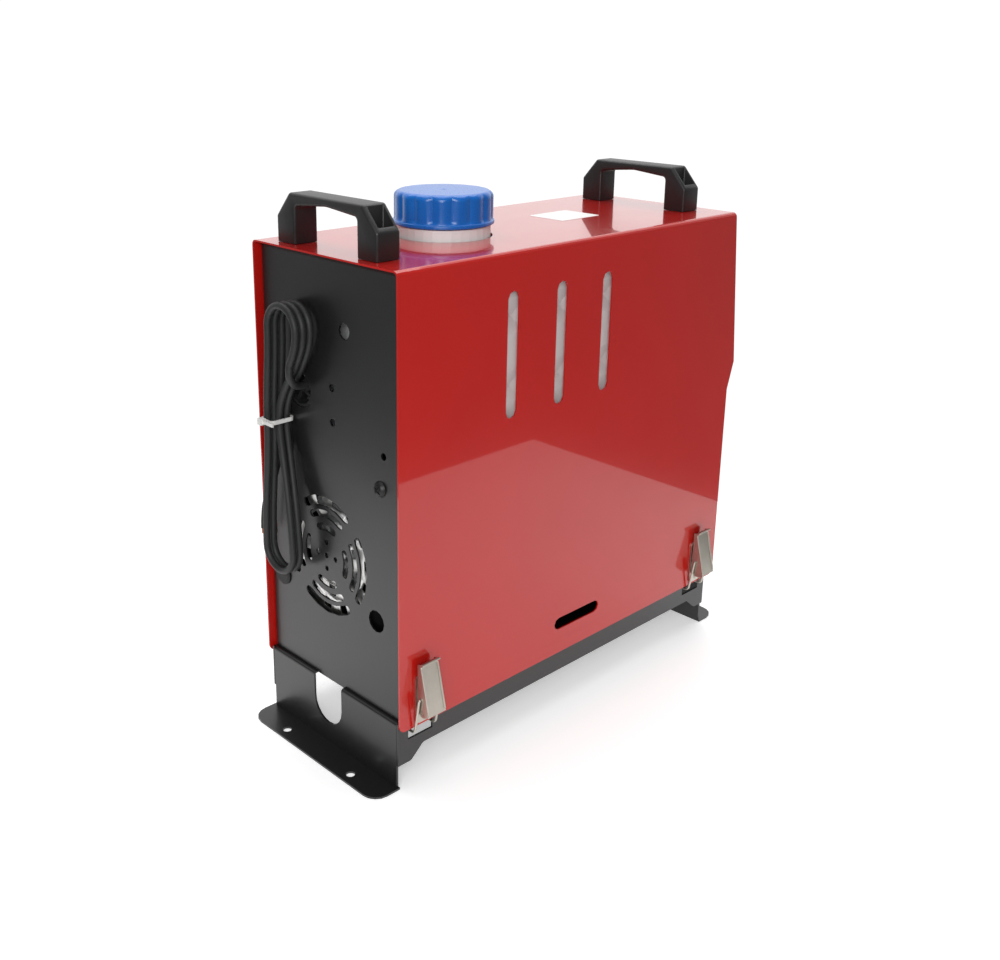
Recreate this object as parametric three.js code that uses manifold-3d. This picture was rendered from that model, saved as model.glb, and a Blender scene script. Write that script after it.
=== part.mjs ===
// Portable diesel air heater: a red steel cover over black end panels, standing on a tray with
// folded legs. A fuel tank fills the upper half and the air heater itself lies in the lower half,
// drawing air in at the left end (-X) and blowing it out at the right end (+X).
// Millimetres, +Z up. The origin is on the ground under the middle of the case, +X runs along
// the case to the warm-air outlet, and -Y is the front long side.

import * as THREE from 'three';
import Module from 'manifold-3d';
import { mergeVertices } from 'three/addons/utils/BufferGeometryUtils.js';

const wasm = await Module();
wasm.setup();

// ---------- driving dimensions ----------

const gap = 0.3;                  // clearance between pieces that touch
const sheet = 1.2;                // steel of the cover, panels and tank shelf
const traySheet = 1.5;            // steel of the tray and heater stand

const caseWidth = 150;            // over the cover's two long sides
const caseTop = 360;
const coverLength = 355;          // of the cover's top face
const coverBottom = 46;           // lower edge of the long sides
const coverBend = 3.5;            // outer bend radius along the top edges
const coverCorner = 5;
const sideReach = 6;              // long sides below the chin, past the top's right end
const chinReach = 13;             // foot of the sloping control panel, past the same end
const chinTop = 236;
const chinFoot = 213;
const panelRecess = 5;            // end panels stand this far inside the cover's edges
const panelFlange = 14;
const panelBend = 3;

const trayTop = 51;
const legInset = 1.3;             // from the cover's end to a leg
const trayRoom = 2;               // between the cover and the tray's rails
const railBottom = 28;
const gussetBottom = 18.5;
const gussetReach = 11.8;         // flat foot of the gusset beside the leg
const gussetRun = 11;             // sloping part of the gusset
const railRound = 4;
const trayBend = 2.5;
const stubClearance = 2;          // of the tray round the heater's stubs
const footDepth = 21.6;
const footCorner = 12;
const footHole = 6.5;
const footHolePitch = 74;
const footHoleSetback = 7.8;      // hole centre from the foot's outer edge
const legNotchWidth = 31;
const legNotchBottom = 16.5;
const legNotchY = 5;

const sightSlotWidth = 10.5;
const sightSlotLow = 246;
const sightSlotHigh = 334;
const sightSlotPitch = 48.4;
const sightSlotX = -28.2;         // middle one of the three
const lowSlotLength = 51;
const lowSlotHeight = 9.5;
const lowSlotX = 2;
const lowSlotZ = 70.5;

const heaterY = 7;                // heater axis, grille and warm-air outlet
const heaterZ = 147;
const grilleHoles = 4.2;          // small holes round the grille's hub
const grilleHolePitch = 9.8;
const grilleWeb = 5.6;            // half width of the webs between the arcs
const grilleRings = [[40.2, 7], [31, 5.4], [21.2, 5.6]];   // mid radius and width of each ring

const handleWidth = 19.5;
const handleLength = 104;
const handleHeight = 34;
const handleLeg = 20;
const handleShoulder = 14;
const handleRound = 3;            // its corners, seen from the side
const handleEdge = 2.5;           // its top edges, and the wall beside a screw pocket
const handleY = 5;
const handleSetback = 8;          // from the cover's end to the handle
const rightHandleSetback = 13;
const gripThickness = 5.5;
const screwPocket = 13;
const pocketFloor = 5;

const fillerInset = 92;           // from the tank's left end
const fillerY = 4;
const neckCollar = 33;            // radius of the collar that rises through the cover
const collarRise = 7.6;           // above the cover
const neckRadius = 29.5;
const neckRise = 16.4;            // above the collar
const neckWall = 3;
const neckClearance = 1.5;        // round the collar, in the cover's hole
const threadClearance = 0.7;      // between the neck and the cap's bore
const capWall = 4.4;
const capRoof = 4.8;
const capRoom = 0.9;              // from the collar to the cap's lower edge
const capFlangeReach = 1;
const capFlangeHeight = 2.6;
const capLobes = 16;
const capLobeDepth = 1.7;
const capCrown = 4.2;             // rounding of the cap's top edge
const sealThickness = 1.6;

const tankInset = 14.5;           // from the inlet panel's face to the tank
const tankLength = 270;
const tankSideRoom = 4.3;         // between the tank and the cover's long sides
const tankTopRoom = 5.8;
const tankBottom = 229;
const tankWall = 3.5;
const tankCorner = 13;
const tankEdge = 5;
const dimplePitch = 48.4;
const dimpleDepth = 2.6;
const shelfFlange = 20;
const spigotInset = [52, 28.5];   // from the tank's right end and its front
const spigotRadius = 3;
const spigotWall = 1.4;
const spigotDrop = 9;             // below the shelf

const latchInset = 21.5;          // from the cover's end to the latch's middle
const leverPivot = [7.5, 60];     // out from the cover's face, and height
const bailPivot = [6, 69.3];
const leverTop = 94.5;
const leverWidth = 16;
const leverSheet = 1.2;
const pinRadius = 1.5;
const bailWire = 2;
const bailReach = 9.4;            // from the latch's middle to each leg of the bail
const bailHook = 42.6;            // height of its hook, in the rail's catch hole
const catchWidth = 22.2;
const catchHeight = 10;
const catchRoom = 3.4;            // above the hook's middle

const casingRoom = 5.8;           // between the heater's casing and the cover's rear side
const caseHalfZ = 62;             // half height of the casing
const casingWall = 2.5;
const casingInset = 5.5;          // from the inlet panel's face to the casing's mouth
const outletGap = 2;              // from its outlet to the other panel's face
const mouthRadius = 50;
const outletClearance = 1;        // of its outlet round the duct spigot
const exchangerInset = 84.5;      // from the casing's outlet
const exchangerDome = 12;
const finRoom = 2.5;              // from the fins to the casing
const finDepth = 12;
const finCount = 24;
const exchangerWall = 4;
const burnerRoom = 10;            // round the burner tube, in the exchanger's bore
const glowInset = 12;             // from the burner tube's wall to the glow plug's axis
const footInset = 15;             // the mounting foot is shorter than the exchanger at each end
const footShift = 7;
const footHalfY = 24;
const standRoom = 3.5;            // from the casing's underside to the stand's top
const gasketThickness = 1.8;
const exhaustShift = 22;          // the two stubs, from the foot's middle
const intakeShift = -18;
const exhaustRadius = 12;
const intakeRadius = 10;
const stubWall = 1.8;
const stubBottom = 24;
const shaftRadius = 3;
const shaftInset = 4;             // inside the wheel's hub
const shaftReach = 16;            // past the motor, through the burner head's fan
const motorRadius = 30;
const motorLength = 58;
const motorGap = 19;              // behind the blower wheel
const headLength = 24;
const headWall = 5.5;
const headStep = 4;               // its rim stands inside the fins' tips
const wheelInset = 6;             // from the casing's mouth
const wheelLength = 22;
const wheelHub = 17;
const wheelRoom = 5;              // from the blades' tips to the mouth
const wheelBlades = 7;
const fanBlades = 8;
const fanRoom = 2.5;

const ductRadius = 37.5;          // outside of the 75 mm duct spigot
const ductWall = 2.5;
const ductReach = 14.5;
const ductFlangeReach = 10.5;
const ductFlangeThickness = 3;

const pumpInset = 63;             // from the casing's mouth
const pumpRoom = 20.8;            // from the cover's front side to the pump's axis
const pumpZ = 71;
const pumpRadius = 14;
const pumpLength = 52;
const filterRadius = 9;
const filterLength = 34;
const filterShift = 90;           // from the pump's middle
const nozzleLength = 11;
const nozzleRadius = 2.6;
const hoseDiameter = 6;
const hoseRoom = 9.8;             // from the cover's front side to the hoses' upright runs

const bezelHeight = 62;
const bezelWidth = 106;
const bezelThickness = 4;
const windowWidth = 58;
const windowHeight = 34;
const buttonRadius = 5.5;
const buttonRise = 1.6;
const buttonTravel = 1;
const buttonPitch = 21;
const buttonCount = 4;

const leadDiameter = 5.2;
const leadHoleRadius = 13.5;
const leadHole = [32, 263];       // centre of the cable hole in the inlet panel
const leadExit = [26, 266.5];       // where the lead itself comes through
const hankPitch = 5.8;            // between the loops that lie on each other
const hankFold = 15.6;            // radius of the folds, three lead diameters
const hankWaist = 2.85;
const hankTopZ = 307.6;
const hankWaistZ = 240;
const hankBottomZ = 145.2;
const hankTopY = 29;
const hankWaistY = 46;
const hankBottomY = 40;
const hankStand = 1.9;            // room for the tie between the innermost loop and the panel
const hankStartZ = 285;
const hankEndZ = 228;
const hankClimb = [150, 225];     // heights between which a loop steps to the next layer
const foldSteps = 6;
const wireDiameter = 2.4;
const tieWidth = 2.8;
const tieThickness = 1.2;
const tieHead = [3.4, 4.6];       // how far it stands out, and its width
const tieTail = 11;               // past the head, cut off

const arcSteps = 2;               // half the facets of a rounded corner
const roundSides = 24;

// ---------- derived places ----------

const halfWidth = caseWidth / 2;
const coverEnd = coverLength / 2;
const outletEnd = coverEnd + sideReach;
const chinX = coverEnd + chinReach;
const slopeAngle = Math.atan2(chinReach, caseTop - chinTop);
const inletFace = -(coverEnd - panelRecess);
const outletFace = outletEnd - panelRecess;
const panelHalf = halfWidth - sheet - gap;
const panelTop = caseTop - sheet - gap;
const panelBottom = trayTop + gap;
const insideY = halfWidth - sheet;
const legX = coverEnd - legInset;
const railY = insideY - trayRoom;
const latchX = coverEnd - latchInset;

const tankLeft = inletFace + tankInset;
const tankRight = tankLeft + tankLength;
const tankHalf = insideY - tankSideRoom;
const tankTop = caseTop - sheet - tankTopRoom;
const shelfZ = tankBottom - gap - sheet;
const spigotX = tankRight - spigotInset[0];
const spigotY = -tankHalf + spigotInset[1];
const fillerX = tankLeft + fillerInset;
const neckCollarTop = caseTop + collarRise;
const neckTop = neckCollarTop + neckRise;
const capBottom = neckCollarTop + capRoom;
const capCeiling = neckTop + gap + sealThickness + gap;
const capTop = capCeiling + capRoof;
const capBore = neckRadius + threadClearance;
const capRadius = capBore + capWall;
const capFlange = capRadius + capFlangeReach;

const axis = [heaterY, heaterZ];
const casingLeft = inletFace + casingInset;
const casingRight = outletFace - outletGap;
const caseHalfY = insideY - heaterY - casingRoom;
const outletRadius = ductRadius + outletClearance;
const wheelLeft = casingLeft + wheelInset;
const wheelRight = wheelLeft + wheelLength;
const wheelTip = mouthRadius - wheelRoom;
const motorLeft = wheelRight + motorGap;
const headLeft = motorLeft + motorLength;
const shaftLeft = wheelLeft + shaftInset;
const shaftRight = headLeft + shaftReach;
const exchangerLeft = headLeft + headLength;
const exchangerRight = casingRight - exchangerInset;
const finTip = Math.min(caseHalfY, caseHalfZ) - casingWall - finRoom;
const finRoot = finTip - finDepth;
const exchangerBore = finRoot - exchangerWall;
const burnerRadius = exchangerBore - burnerRoom;
const headRadius = finTip - headStep;
const fanRadius = headRadius - headWall - fanRoom;
const footHalfX = (exchangerRight - exchangerLeft) / 2 - footInset;
const footX = (exchangerLeft + exchangerRight) / 2 - footShift;
const standTop = heaterZ - caseHalfZ - standRoom;
const exhaustX = footX + exhaustShift;
const intakeX = footX + intakeShift;
const pumpX = casingLeft + pumpInset;
const pumpY = -insideY + pumpRoom;
const filterX = pumpX + filterShift;
const ductFlange = ductRadius + ductFlangeReach;

// ---------- finishes ----------

const finish = (color, roughness, metalness = 0) =>
  new THREE.MeshStandardMaterial({ color, roughness, metalness });
const redPaint = finish(0xb81d18, 0.18);
const blackPaint = finish(0x232425, 0.45);
const blackPlastic = finish(0x1b1b1c, 0.5);
const bluePlastic = finish(0x145fbe, 0.35);
const whitePlastic = finish(0xe4e6e6, 0.45);
const nickel = finish(0xb9b4aa, 0.3, 1);
const aluminium = finish(0xa9adb0, 0.45, 1);
const blackRubber = finish(0x151515, 0.8);
const redWireSkin = finish(0xc02030, 0.5);
const glass = finish(0x10181c, 0.08);
const greyPlastic = finish(0x8d9296, 0.5);

// ---------- solids ----------

// A closed three.js geometry as a solid, turned right way out if a mirror turned it inside out.
function solid(geometry) {
  const bare = geometry.clone();
  bare.deleteAttribute('normal');
  bare.deleteAttribute('uv');
  const merged = mergeVertices(bare, 1e-4);
  const points = merged.attributes.position.array;
  const triangles = [];
  for (let i = 0; i < merged.index.count; i += 3) {
    const [a, b, c] = merged.index.array.slice(i, i + 3);
    if (a !== b && b !== c && c !== a) triangles.push(a, b, c);
  }
  if (volumeOf(points, triangles) < 0) triangles.reverse();
  return new wasm.Manifold(new wasm.Mesh({
    numProp: 3,
    vertProperties: new Float32Array(points),
    triVerts: new Uint32Array(triangles),
  }));
}

function volumeOf(points, triangles) {
  const corner = (i) => new THREE.Vector3().fromArray(points, 3 * triangles[i]);
  let total = 0;
  for (let i = 0; i < triangles.length; i += 3) {
    total += corner(i).dot(corner(i + 1).cross(corner(i + 2)));
  }
  return total;
}

const join = (...bodies) => bodies.reduce((whole, body) => whole.add(body));
const cut = (whole, ...tools) => tools.reduce((rest, tool) => rest.subtract(tool), whole);

function block([x0, x1], [y0, y1], [z0, z1], place = new THREE.Matrix4()) {
  const box = new THREE.BoxGeometry(x1 - x0, y1 - y0, z1 - z0);
  box.translate((x0 + x1) / 2, (y0 + y1) / 2, (z0 + z1) / 2);
  return solid(box.applyMatrix4(place));
}

// Outline through [a, b, radius] corners, each rounded by an arc of its radius.
function outline(corners) {
  const shape = new THREE.Shape();
  const at = (i) => new THREE.Vector2(...corners[(i + corners.length) % corners.length]);
  corners.forEach(([a, b, radius = 0], i) => {
    const back = at(i - 1).sub(at(i)).normalize();
    const on = at(i + 1).sub(at(i)).normalize();
    if (radius === 0) {
      if (i === 0) shape.moveTo(a, b);
      else shape.lineTo(a, b);
      return;
    }
    const half = Math.acos(THREE.MathUtils.clamp(back.dot(on), -1, 1)) / 2;
    const centre = back.clone().add(on).setLength(radius / Math.sin(half)).add(at(i));
    const start = back.multiplyScalar(radius / Math.tan(half)).add(at(i)).sub(centre);
    const end = on.clone().multiplyScalar(radius / Math.tan(half)).add(at(i)).sub(centre);
    shape.absarc(centre.x, centre.y, radius, start.angle(), end.angle(), start.cross(end) < 0);
  });
  return shape;
}

const rectangle = ([a0, a1], [b0, b1], radius = 0) =>
  outline([[a0, b0, radius], [a1, b0, radius], [a1, b1, radius], [a0, b1, radius]]);

// Slot with round ends between two centres on a level or upright line.
function roundSlot(start, end, width) {
  const along = Math.atan2(end[1] - start[1], end[0] - start[0]);
  const shape = new THREE.Shape();
  shape.absarc(...end, width / 2, along - Math.PI / 2, along + Math.PI / 2);
  shape.absarc(...start, width / 2, along + Math.PI / 2, along + 1.5 * Math.PI);
  return shape;
}

// Curved slot with round ends, round a centre.
function arcSlot([a, b], radius, width, from, to) {
  const shape = new THREE.Shape();
  const end = (angle) => [a + radius * Math.cos(angle), b + radius * Math.sin(angle)];
  shape.absarc(a, b, radius + width / 2, from, to);
  shape.absarc(...end(to), width / 2, to, to + Math.PI);
  shape.absarc(a, b, radius - width / 2, to, from, true);
  shape.absarc(...end(from), width / 2, from + Math.PI, from + 2 * Math.PI);
  return shape;
}

// Extrusions: (a, b) of the outline are (y, z), (x, z) or (x, y).
const intoX = new THREE.Matrix4().set(0, 0, 1, 0, 1, 0, 0, 0, 0, 1, 0, 0, 0, 0, 0, 1);
const intoY = new THREE.Matrix4().set(1, 0, 0, 0, 0, 0, 1, 0, 0, 1, 0, 0, 0, 0, 0, 1);
const intoZ = new THREE.Matrix4();

function extrude(shape, [from, to], into, bevel = 0, curveSegments = arcSteps) {
  const geometry = new THREE.ExtrudeGeometry(shape, {
    depth: to - from - 2 * bevel,
    curveSegments,
    bevelEnabled: bevel > 0,
    bevelThickness: bevel,
    bevelSize: bevel,
    bevelOffset: -bevel,
    bevelSegments: 2,
  });
  return solid(geometry.translate(0, 0, from + bevel).applyMatrix4(into));
}
const alongX = (shape, span, bevel, steps) => extrude(shape, span, intoX, bevel, steps);
const alongY = (shape, span, bevel, steps) => extrude(shape, span, intoY, bevel, steps);
const alongZ = (shape, span, bevel, steps) => extrude(shape, span, intoZ, bevel, steps);

// Revolved [radius, height] profile round a line along X through (y, z), or along Z through (x, y).
function revolve(profile, sides) {
  return new THREE.LatheGeometry(profile.map(([r, h]) => new THREE.Vector2(r, h)), sides);
}
const roundX = ([y, z], profile, sides = roundSides) => {
  const turn = new THREE.Matrix4().set(0, 1, 0, 0, 1, 0, 0, y, 0, 0, 1, z, 0, 0, 0, 1);
  return solid(revolve(profile, sides).applyMatrix4(turn));
};
const roundZ = ([x, y], profile, sides = roundSides) => {
  const turn = new THREE.Matrix4().set(1, 0, 0, x, 0, 0, 1, y, 0, 1, 0, 0, 0, 0, 0, 1);
  return solid(revolve(profile, sides).applyMatrix4(turn));
};
const rodProfile = (radius, [low, high]) => [[0, low], [radius, low], [radius, high], [0, high]];
const rodX = (centre, radius, span, sides) => roundX(centre, rodProfile(radius, span), sides);
const rodZ = (centre, radius, span, sides) => roundZ(centre, rodProfile(radius, span), sides);
const ringProfile = (inner, outer, [low, high]) =>
  [[inner, low], [outer, low], [outer, high], [inner, high], [inner, low]];
const ringX = (centre, inner, outer, span, sides) =>
  roundX(centre, ringProfile(inner, outer, span), sides);
const ringZ = (centre, inner, outer, span, sides) =>
  roundZ(centre, ringProfile(inner, outer, span), sides);
const drillY = ([x, z], radius, [from, to], sides = 16) => {
  const hole = new THREE.CylinderGeometry(radius, radius, to - from, sides);
  return solid(hole.translate(x, (from + to) / 2, z));
};

// Solid through a row of rings that all have the same number of points.
function loft(rings) {
  const count = rings[0].length;
  const points = rings.flat().flatMap((p) => p.toArray());
  const index = [];
  for (let r = 0; r + 1 < rings.length; r += 1) {
    for (let i = 0; i < count; i += 1) {
      const a = r * count + i;
      const b = r * count + (i + 1) % count;
      index.push(a, b, b + count, a, b + count, a + count);
    }
  }
  const last = (rings.length - 1) * count;
  for (let i = 1; i + 1 < count; i += 1) index.push(0, i + 1, i, last, last + i, last + i + 1);
  const geometry = new THREE.BufferGeometry();
  geometry.setAttribute('position', new THREE.Float32BufferAttribute(points, 3));
  geometry.setIndex(index);
  return solid(geometry);
}

// Round tube swept along a smooth curve through points.
function hose(points, diameter, sides, steps) {
  const section = new THREE.Shape();
  section.absarc(0, 0, diameter / 2, 0, 2 * Math.PI);
  return solid(new THREE.ExtrudeGeometry(section, {
    steps,
    curveSegments: sides / 2,
    bevelEnabled: false,
    extrudePath: new THREE.CatmullRomCurve3(vectors(points)),
  }));
}

// Bent wire: straight stretches between [x, y, z, radius] corners, rounded at each corner.
function bentWire(corners, diameter, sides) {
  const line = corners.flatMap(([x, y, z, radius = 0], i) => {
    const here = new THREE.Vector3(x, y, z);
    if (radius === 0) return [here];
    const towards = (j) => new THREE.Vector3(...corners[j]).sub(here).setLength(radius).add(here);
    return new THREE.QuadraticBezierCurve3(towards(i - 1), here, towards(i + 1)).getPoints(1);
  });
  return tube(line, diameter, sides);
}

const vectors = (points) => points.map((point) => new THREE.Vector3(...point));

// Tube with one ring of facets at every point of its middle line, carried along without twist.
function tube(line, diameter, sides) {
  const along = line.map((_, i) => line[Math.min(i + 1, line.length - 1)].clone()
    .sub(line[Math.max(i - 1, 0)]).normalize());
  const normal = new THREE.Vector3(0, 1, 0.3).cross(along[0]).normalize();
  const rings = line.map((centre, i) => {
    if (i > 0) normal.applyQuaternion(new THREE.Quaternion().setFromUnitVectors(along[i - 1], along[i]));
    return Array.from({ length: sides }, (_, j) => normal.clone()
      .applyAxisAngle(along[i], 2 * Math.PI * j / sides).multiplyScalar(diameter / 2).add(centre));
  });
  return loft(rings);
}

// ---------- scene graph ----------

const heater = new THREE.Group();

function piece(name, body, material, parent = heater) {
  const { vertProperties, triVerts } = body.getMesh();
  const geometry = new THREE.BufferGeometry();
  geometry.setAttribute('position', new THREE.BufferAttribute(vertProperties, 3));
  geometry.setIndex(new THREE.BufferAttribute(triVerts, 1));
  const mesh = new THREE.Mesh(geometry, material);
  mesh.name = name;
  parent.add(mesh);
}

// ---------- cover ----------

const coverRight = [
  [outletEnd, coverBottom, coverCorner],
  [outletEnd, chinFoot],
  [chinX, chinTop],
  [coverEnd, caseTop],
];

function cover() {
  const side = outline([[-coverEnd, coverBottom, coverCorner], ...coverRight, [-coverEnd, caseTop]]);
  const long = [-2 * coverEnd, 2 * coverEnd];
  const arch = (inset, bottom) => alongX(outline([
    [-halfWidth + inset, bottom],
    [halfWidth - inset, bottom],
    [halfWidth - inset, caseTop - inset, coverBend - inset],
    [-halfWidth + inset, caseTop - inset, coverBend - inset],
  ]), long);
  const through = [-caseWidth, caseWidth];
  const shell = alongY(side, through).intersect(arch(0, 0)).subtract(arch(sheet, -caseTop));
  const sight = [-1, 0, 1].map((i) => {
    const x = sightSlotX + i * sightSlotPitch;
    const end = sightSlotWidth / 2;
    return alongY(roundSlot([x, sightSlotLow + end], [x, sightSlotHigh - end], sightSlotWidth), through);
  });
  const reach = (lowSlotLength - lowSlotHeight) / 2;
  const low = roundSlot([lowSlotX - reach, lowSlotZ], [lowSlotX + reach, lowSlotZ], lowSlotHeight);
  const neckHole = rodZ([fillerX, fillerY], neckCollar + neckClearance, [tankTop, neckTop], 36);
  return cut(shell, ...sight, alongY(low, through), neckHole);
}
piece('cover', cover(), redPaint);

// ---------- end panels ----------

// Outer or inner form of a panel: a block with its top corners and face edges rounded.
const panelBlock = (inset, span, bevel) => alongX(outline([
  [-panelHalf + inset, 0],
  [panelHalf - inset, 0],
  [panelHalf - inset, panelTop - inset, coverBend - inset],
  [-panelHalf + inset, panelTop - inset, coverBend - inset],
]), span, bevel);

function grille(span) {
  const arcs = grilleRings.flatMap(([radius, width]) => [0, 1, 2, 3].map((quarter) => {
    const middle = quarter * Math.PI / 2;
    const half = Math.PI / 4 - Math.asin((grilleWeb + width / 2) / radius);
    return alongX(arcSlot(axis, radius, width, middle - half, middle + half), span, 0, 2);
  }));
  const hub = [[0, 0], [1, 0], [-1, 0], [0, 1], [0, -1]].map(([a, b]) =>
    rodX([heaterY + a * grilleHolePitch, heaterZ + b * grilleHolePitch], grilleHoles / 2, span, 8));
  return [...arcs, ...hub];
}

// Places on the inlet panel are counted from its rear (+Y) or front edge.
const shelfScrews = [[panelHalf - 8, shelfZ - 9.9], [-panelHalf + 22, shelfZ - 13.5]];
const panelScrewRadius = 3;
const plugCentre = [panelHalf - 14.5, 115];
const plugRadius = 7;

function inletPanel() {
  const back = inletFace + panelFlange;
  const pan = cut(
    panelBlock(0, [inletFace, back + 2 * panelBend], panelBend),
    panelBlock(sheet, [inletFace + sheet, back + 3 * panelBend], panelBend - sheet),
    block([back, back + 4 * panelBend], [-caseWidth, caseWidth], [-1, caseTop]),
    block([inletFace - 1, back + 1], [-caseWidth, caseWidth], [-1, panelBottom]),
  );
  const through = [inletFace - 1, inletFace + sheet + 1];
  const holes = [[-17, 312, 5.5], [-3, 271, 2.8], [-3, 247, 2.8], [-panelHalf + 18.5, 237, 2.6],
    [panelHalf - 5.5, 241, 2.6], [-panelHalf + 27.5, 117, 8]];
  return cut(
    pan,
    ...grille(through),
    ...holes.map(([y, z, radius]) => rodX([y, z], radius, through, 12)),
    ...shelfScrews.map((at) => rodX(at, panelScrewRadius + gap, through, 12)),
    rodX(plugCentre, plugRadius + gap, through, 16),
    rodX(leadHole, leadHoleRadius, through, 28),
  );
}
piece('inlet_panel', inletPanel(), blackPaint);

// The control panel's own frame: origin on its outer face, x out of the face, z up the slope.
const slopeMiddle = (caseTop + chinTop) / 2 - 2;
const slopeX = coverEnd - panelRecess + (caseTop - slopeMiddle) * Math.tan(slopeAngle);
const slope = new THREE.Group();
slope.position.set(slopeX, 0, slopeMiddle);
slope.rotation.y = -slopeAngle;
slope.updateMatrix();
heater.add(slope);

const outletLine = (shift) => [
  [outletFace + shift, 0],
  [outletFace + shift, chinFoot],
  [chinX - panelRecess + shift, chinTop],
  [coverEnd - panelRecess + shift, caseTop],
];

function outletPanel() {
  const region = (front, back) => outline([...outletLine(front), ...outletLine(back).reverse()]);
  const long = [0, 2 * coverEnd];
  const pan = alongY(region(0, -panelFlange), [-panelHalf, panelHalf]).intersect(panelBlock(0, long));
  const hollow = alongY(region(-sheet, -2 * panelFlange), [-caseWidth, caseWidth])
    .intersect(panelBlock(sheet, long));
  const outlet = rodX(axis, outletRadius + 1, [outletFace - 5, outletFace + 1], 40);
  const wires = block([-5, 5], [-windowWidth / 2, windowWidth / 2], [-8, 22], slope.matrix);
  return cut(pan, hollow, outlet, wires, block([0, coverLength], [-caseWidth, caseWidth], [-1, panelBottom]));
}
piece('outlet_panel', outletPanel(), blackPaint);

function shelfScrew(at) {
  const head = inletFace - gap;
  return roundX(at, [[0, head - 3.2], [2.6, head - 3.2], [4.6, head - 2.2], [5.5, head],
    [panelScrewRadius, head], [panelScrewRadius, head + 8], [0, head + 8]], 12);
}
piece('panel_screw_rear', shelfScrew(shelfScrews[0]), nickel);
piece('panel_screw_front', shelfScrew(shelfScrews[1]), nickel);

const plugFace = inletFace - gap;
piece('panel_plug', roundX(plugCentre, [[0, plugFace - 1.8], [plugRadius, plugFace - 1.8],
  [plugRadius + 1.6, plugFace - 0.6], [plugRadius + 1.6, plugFace], [plugRadius, plugFace],
  [plugRadius, plugFace + 4], [0, plugFace + 4]], 16), blackRubber);

// ---------- tray with rails, legs and feet ----------

// One folded strip: left foot, left leg, floor, right leg, right foot.
function tray() {
  const footEnd = legX + footDepth;
  const width = [-railY + traySheet + gap, railY - traySheet - gap];
  const beyond = [-caseWidth, caseWidth];
  const legs = cut(
    alongY(outline([[-legX, 0], [legX, 0], [legX, trayTop, trayBend], [-legX, trayTop, trayBend]]), width),
    block([-legX + traySheet, legX - traySheet], beyond, [-1, trayTop - traySheet]),
  );
  const plan = alongZ(rectangle([-footEnd, footEnd], [-railY, railY], footCorner), [-1, traySheet]);
  const feet = [[-footEnd, -legX + traySheet], [legX - traySheet, footEnd]].map((span) =>
    block(span, beyond, [0, traySheet]).intersect(plan));
  const notch = legNotchWidth / 2;
  const notchShape = new THREE.Shape();
  notchShape.absarc(legNotchY, legNotchBottom + notch, notch, Math.PI, 2 * Math.PI);
  notchShape.lineTo(legNotchY + notch, trayTop + 1);
  notchShape.lineTo(legNotchY - notch, trayTop + 1);
  const notches = [[-legX - 1, -legX + 4], [legX - 4, legX + 1]].map((span) =>
    alongX(notchShape, span, 0, 5));
  const bolts = [-1, 1].flatMap((x) => [-1, 1].map((y) => rodZ(
    [x * (footEnd - footHoleSetback), y * footHolePitch / 2], footHole / 2, [-1, traySheet + 1], 12)));
  const pipes = [[exhaustX, exhaustRadius], [intakeX, intakeRadius]].map(([x, radius]) =>
    rodZ([x, heaterY], radius + stubClearance, [trayTop - traySheet - 1, trayTop + 1], 16));
  return cut(join(legs, ...feet), ...notches, ...bolts, ...pipes);
}
piece('tray', tray(), blackPaint);

// A side rail covers the strip's edge from leg to leg, with a gusset down each leg and the
// latches' catch holes.
function rail(side) {
  const low = legX - gussetReach;
  const near = low - gussetRun;
  const plate = outline([
    [-legX, trayTop], [-legX, gussetBottom], [-low, gussetBottom, railRound], [-near, railBottom, railRound],
    [near, railBottom, railRound], [low, gussetBottom, railRound], [legX, gussetBottom], [legX, trayTop],
  ]);
  const catchTop = bailHook + catchRoom;
  const catches = [-latchX, latchX].map((x) => alongY(
    rectangle([x - catchWidth / 2, x + catchWidth / 2], [catchTop - catchHeight, catchTop]),
    [-caseWidth, caseWidth]));
  const span = side < 0 ? [-railY, -railY + traySheet] : [railY - traySheet, railY];
  return cut(alongY(plate, span), ...catches);
}
piece('tray_rail_front', rail(-1), blackPaint);
piece('tray_rail_rear', rail(1), blackPaint);

// ---------- handles ----------

function handle(x) {
  const half = handleLength / 2;
  const foot = caseTop + gap;
  const top = caseTop + handleHeight;
  const shoulder = top - handleShoulder - 2;
  const inner = half - handleLeg;
  const under = top - gripThickness;
  const bridge = outline([
    [-half, foot], [-half, shoulder, handleRound], [-half + handleShoulder, top, handleRound],
    [half - handleShoulder, top, handleRound], [half, shoulder, handleRound], [half, foot],
    [inner, foot], [inner, under - handleRound, handleRound], [0, under, 10 * handleRound],
    [-inner, under - handleRound, handleRound], [-inner, foot],
  ].map(([y, z, radius]) => [handleY + y, z, radius]));
  const span = [x - handleWidth / 2, x + handleWidth / 2];
  const pockets = [-1, 1].map((end) => {
    const wall = handleY + end * (half - handleEdge);
    const deep = handleY + end * (half - screwPocket);
    return block([x - screwPocket / 2, x + screwPocket / 2],
      [Math.min(wall, deep), Math.max(wall, deep)], [foot + pocketFloor, top + 1]);
  });
  const section = alongY(outline([[span[0], foot], [span[1], foot], [span[1], top, handleEdge],
    [span[0], top, handleEdge]]),
    [handleY - handleLength, handleY + handleLength]);
  return cut(alongX(bridge, span).intersect(section), ...pockets);
}
piece('handle_left', handle(-coverEnd + handleSetback + handleWidth / 2), blackPlastic);
piece('handle_right', handle(coverEnd - rightHandleSetback - handleWidth / 2), blackPlastic);

// ---------- draw latches ----------

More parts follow.
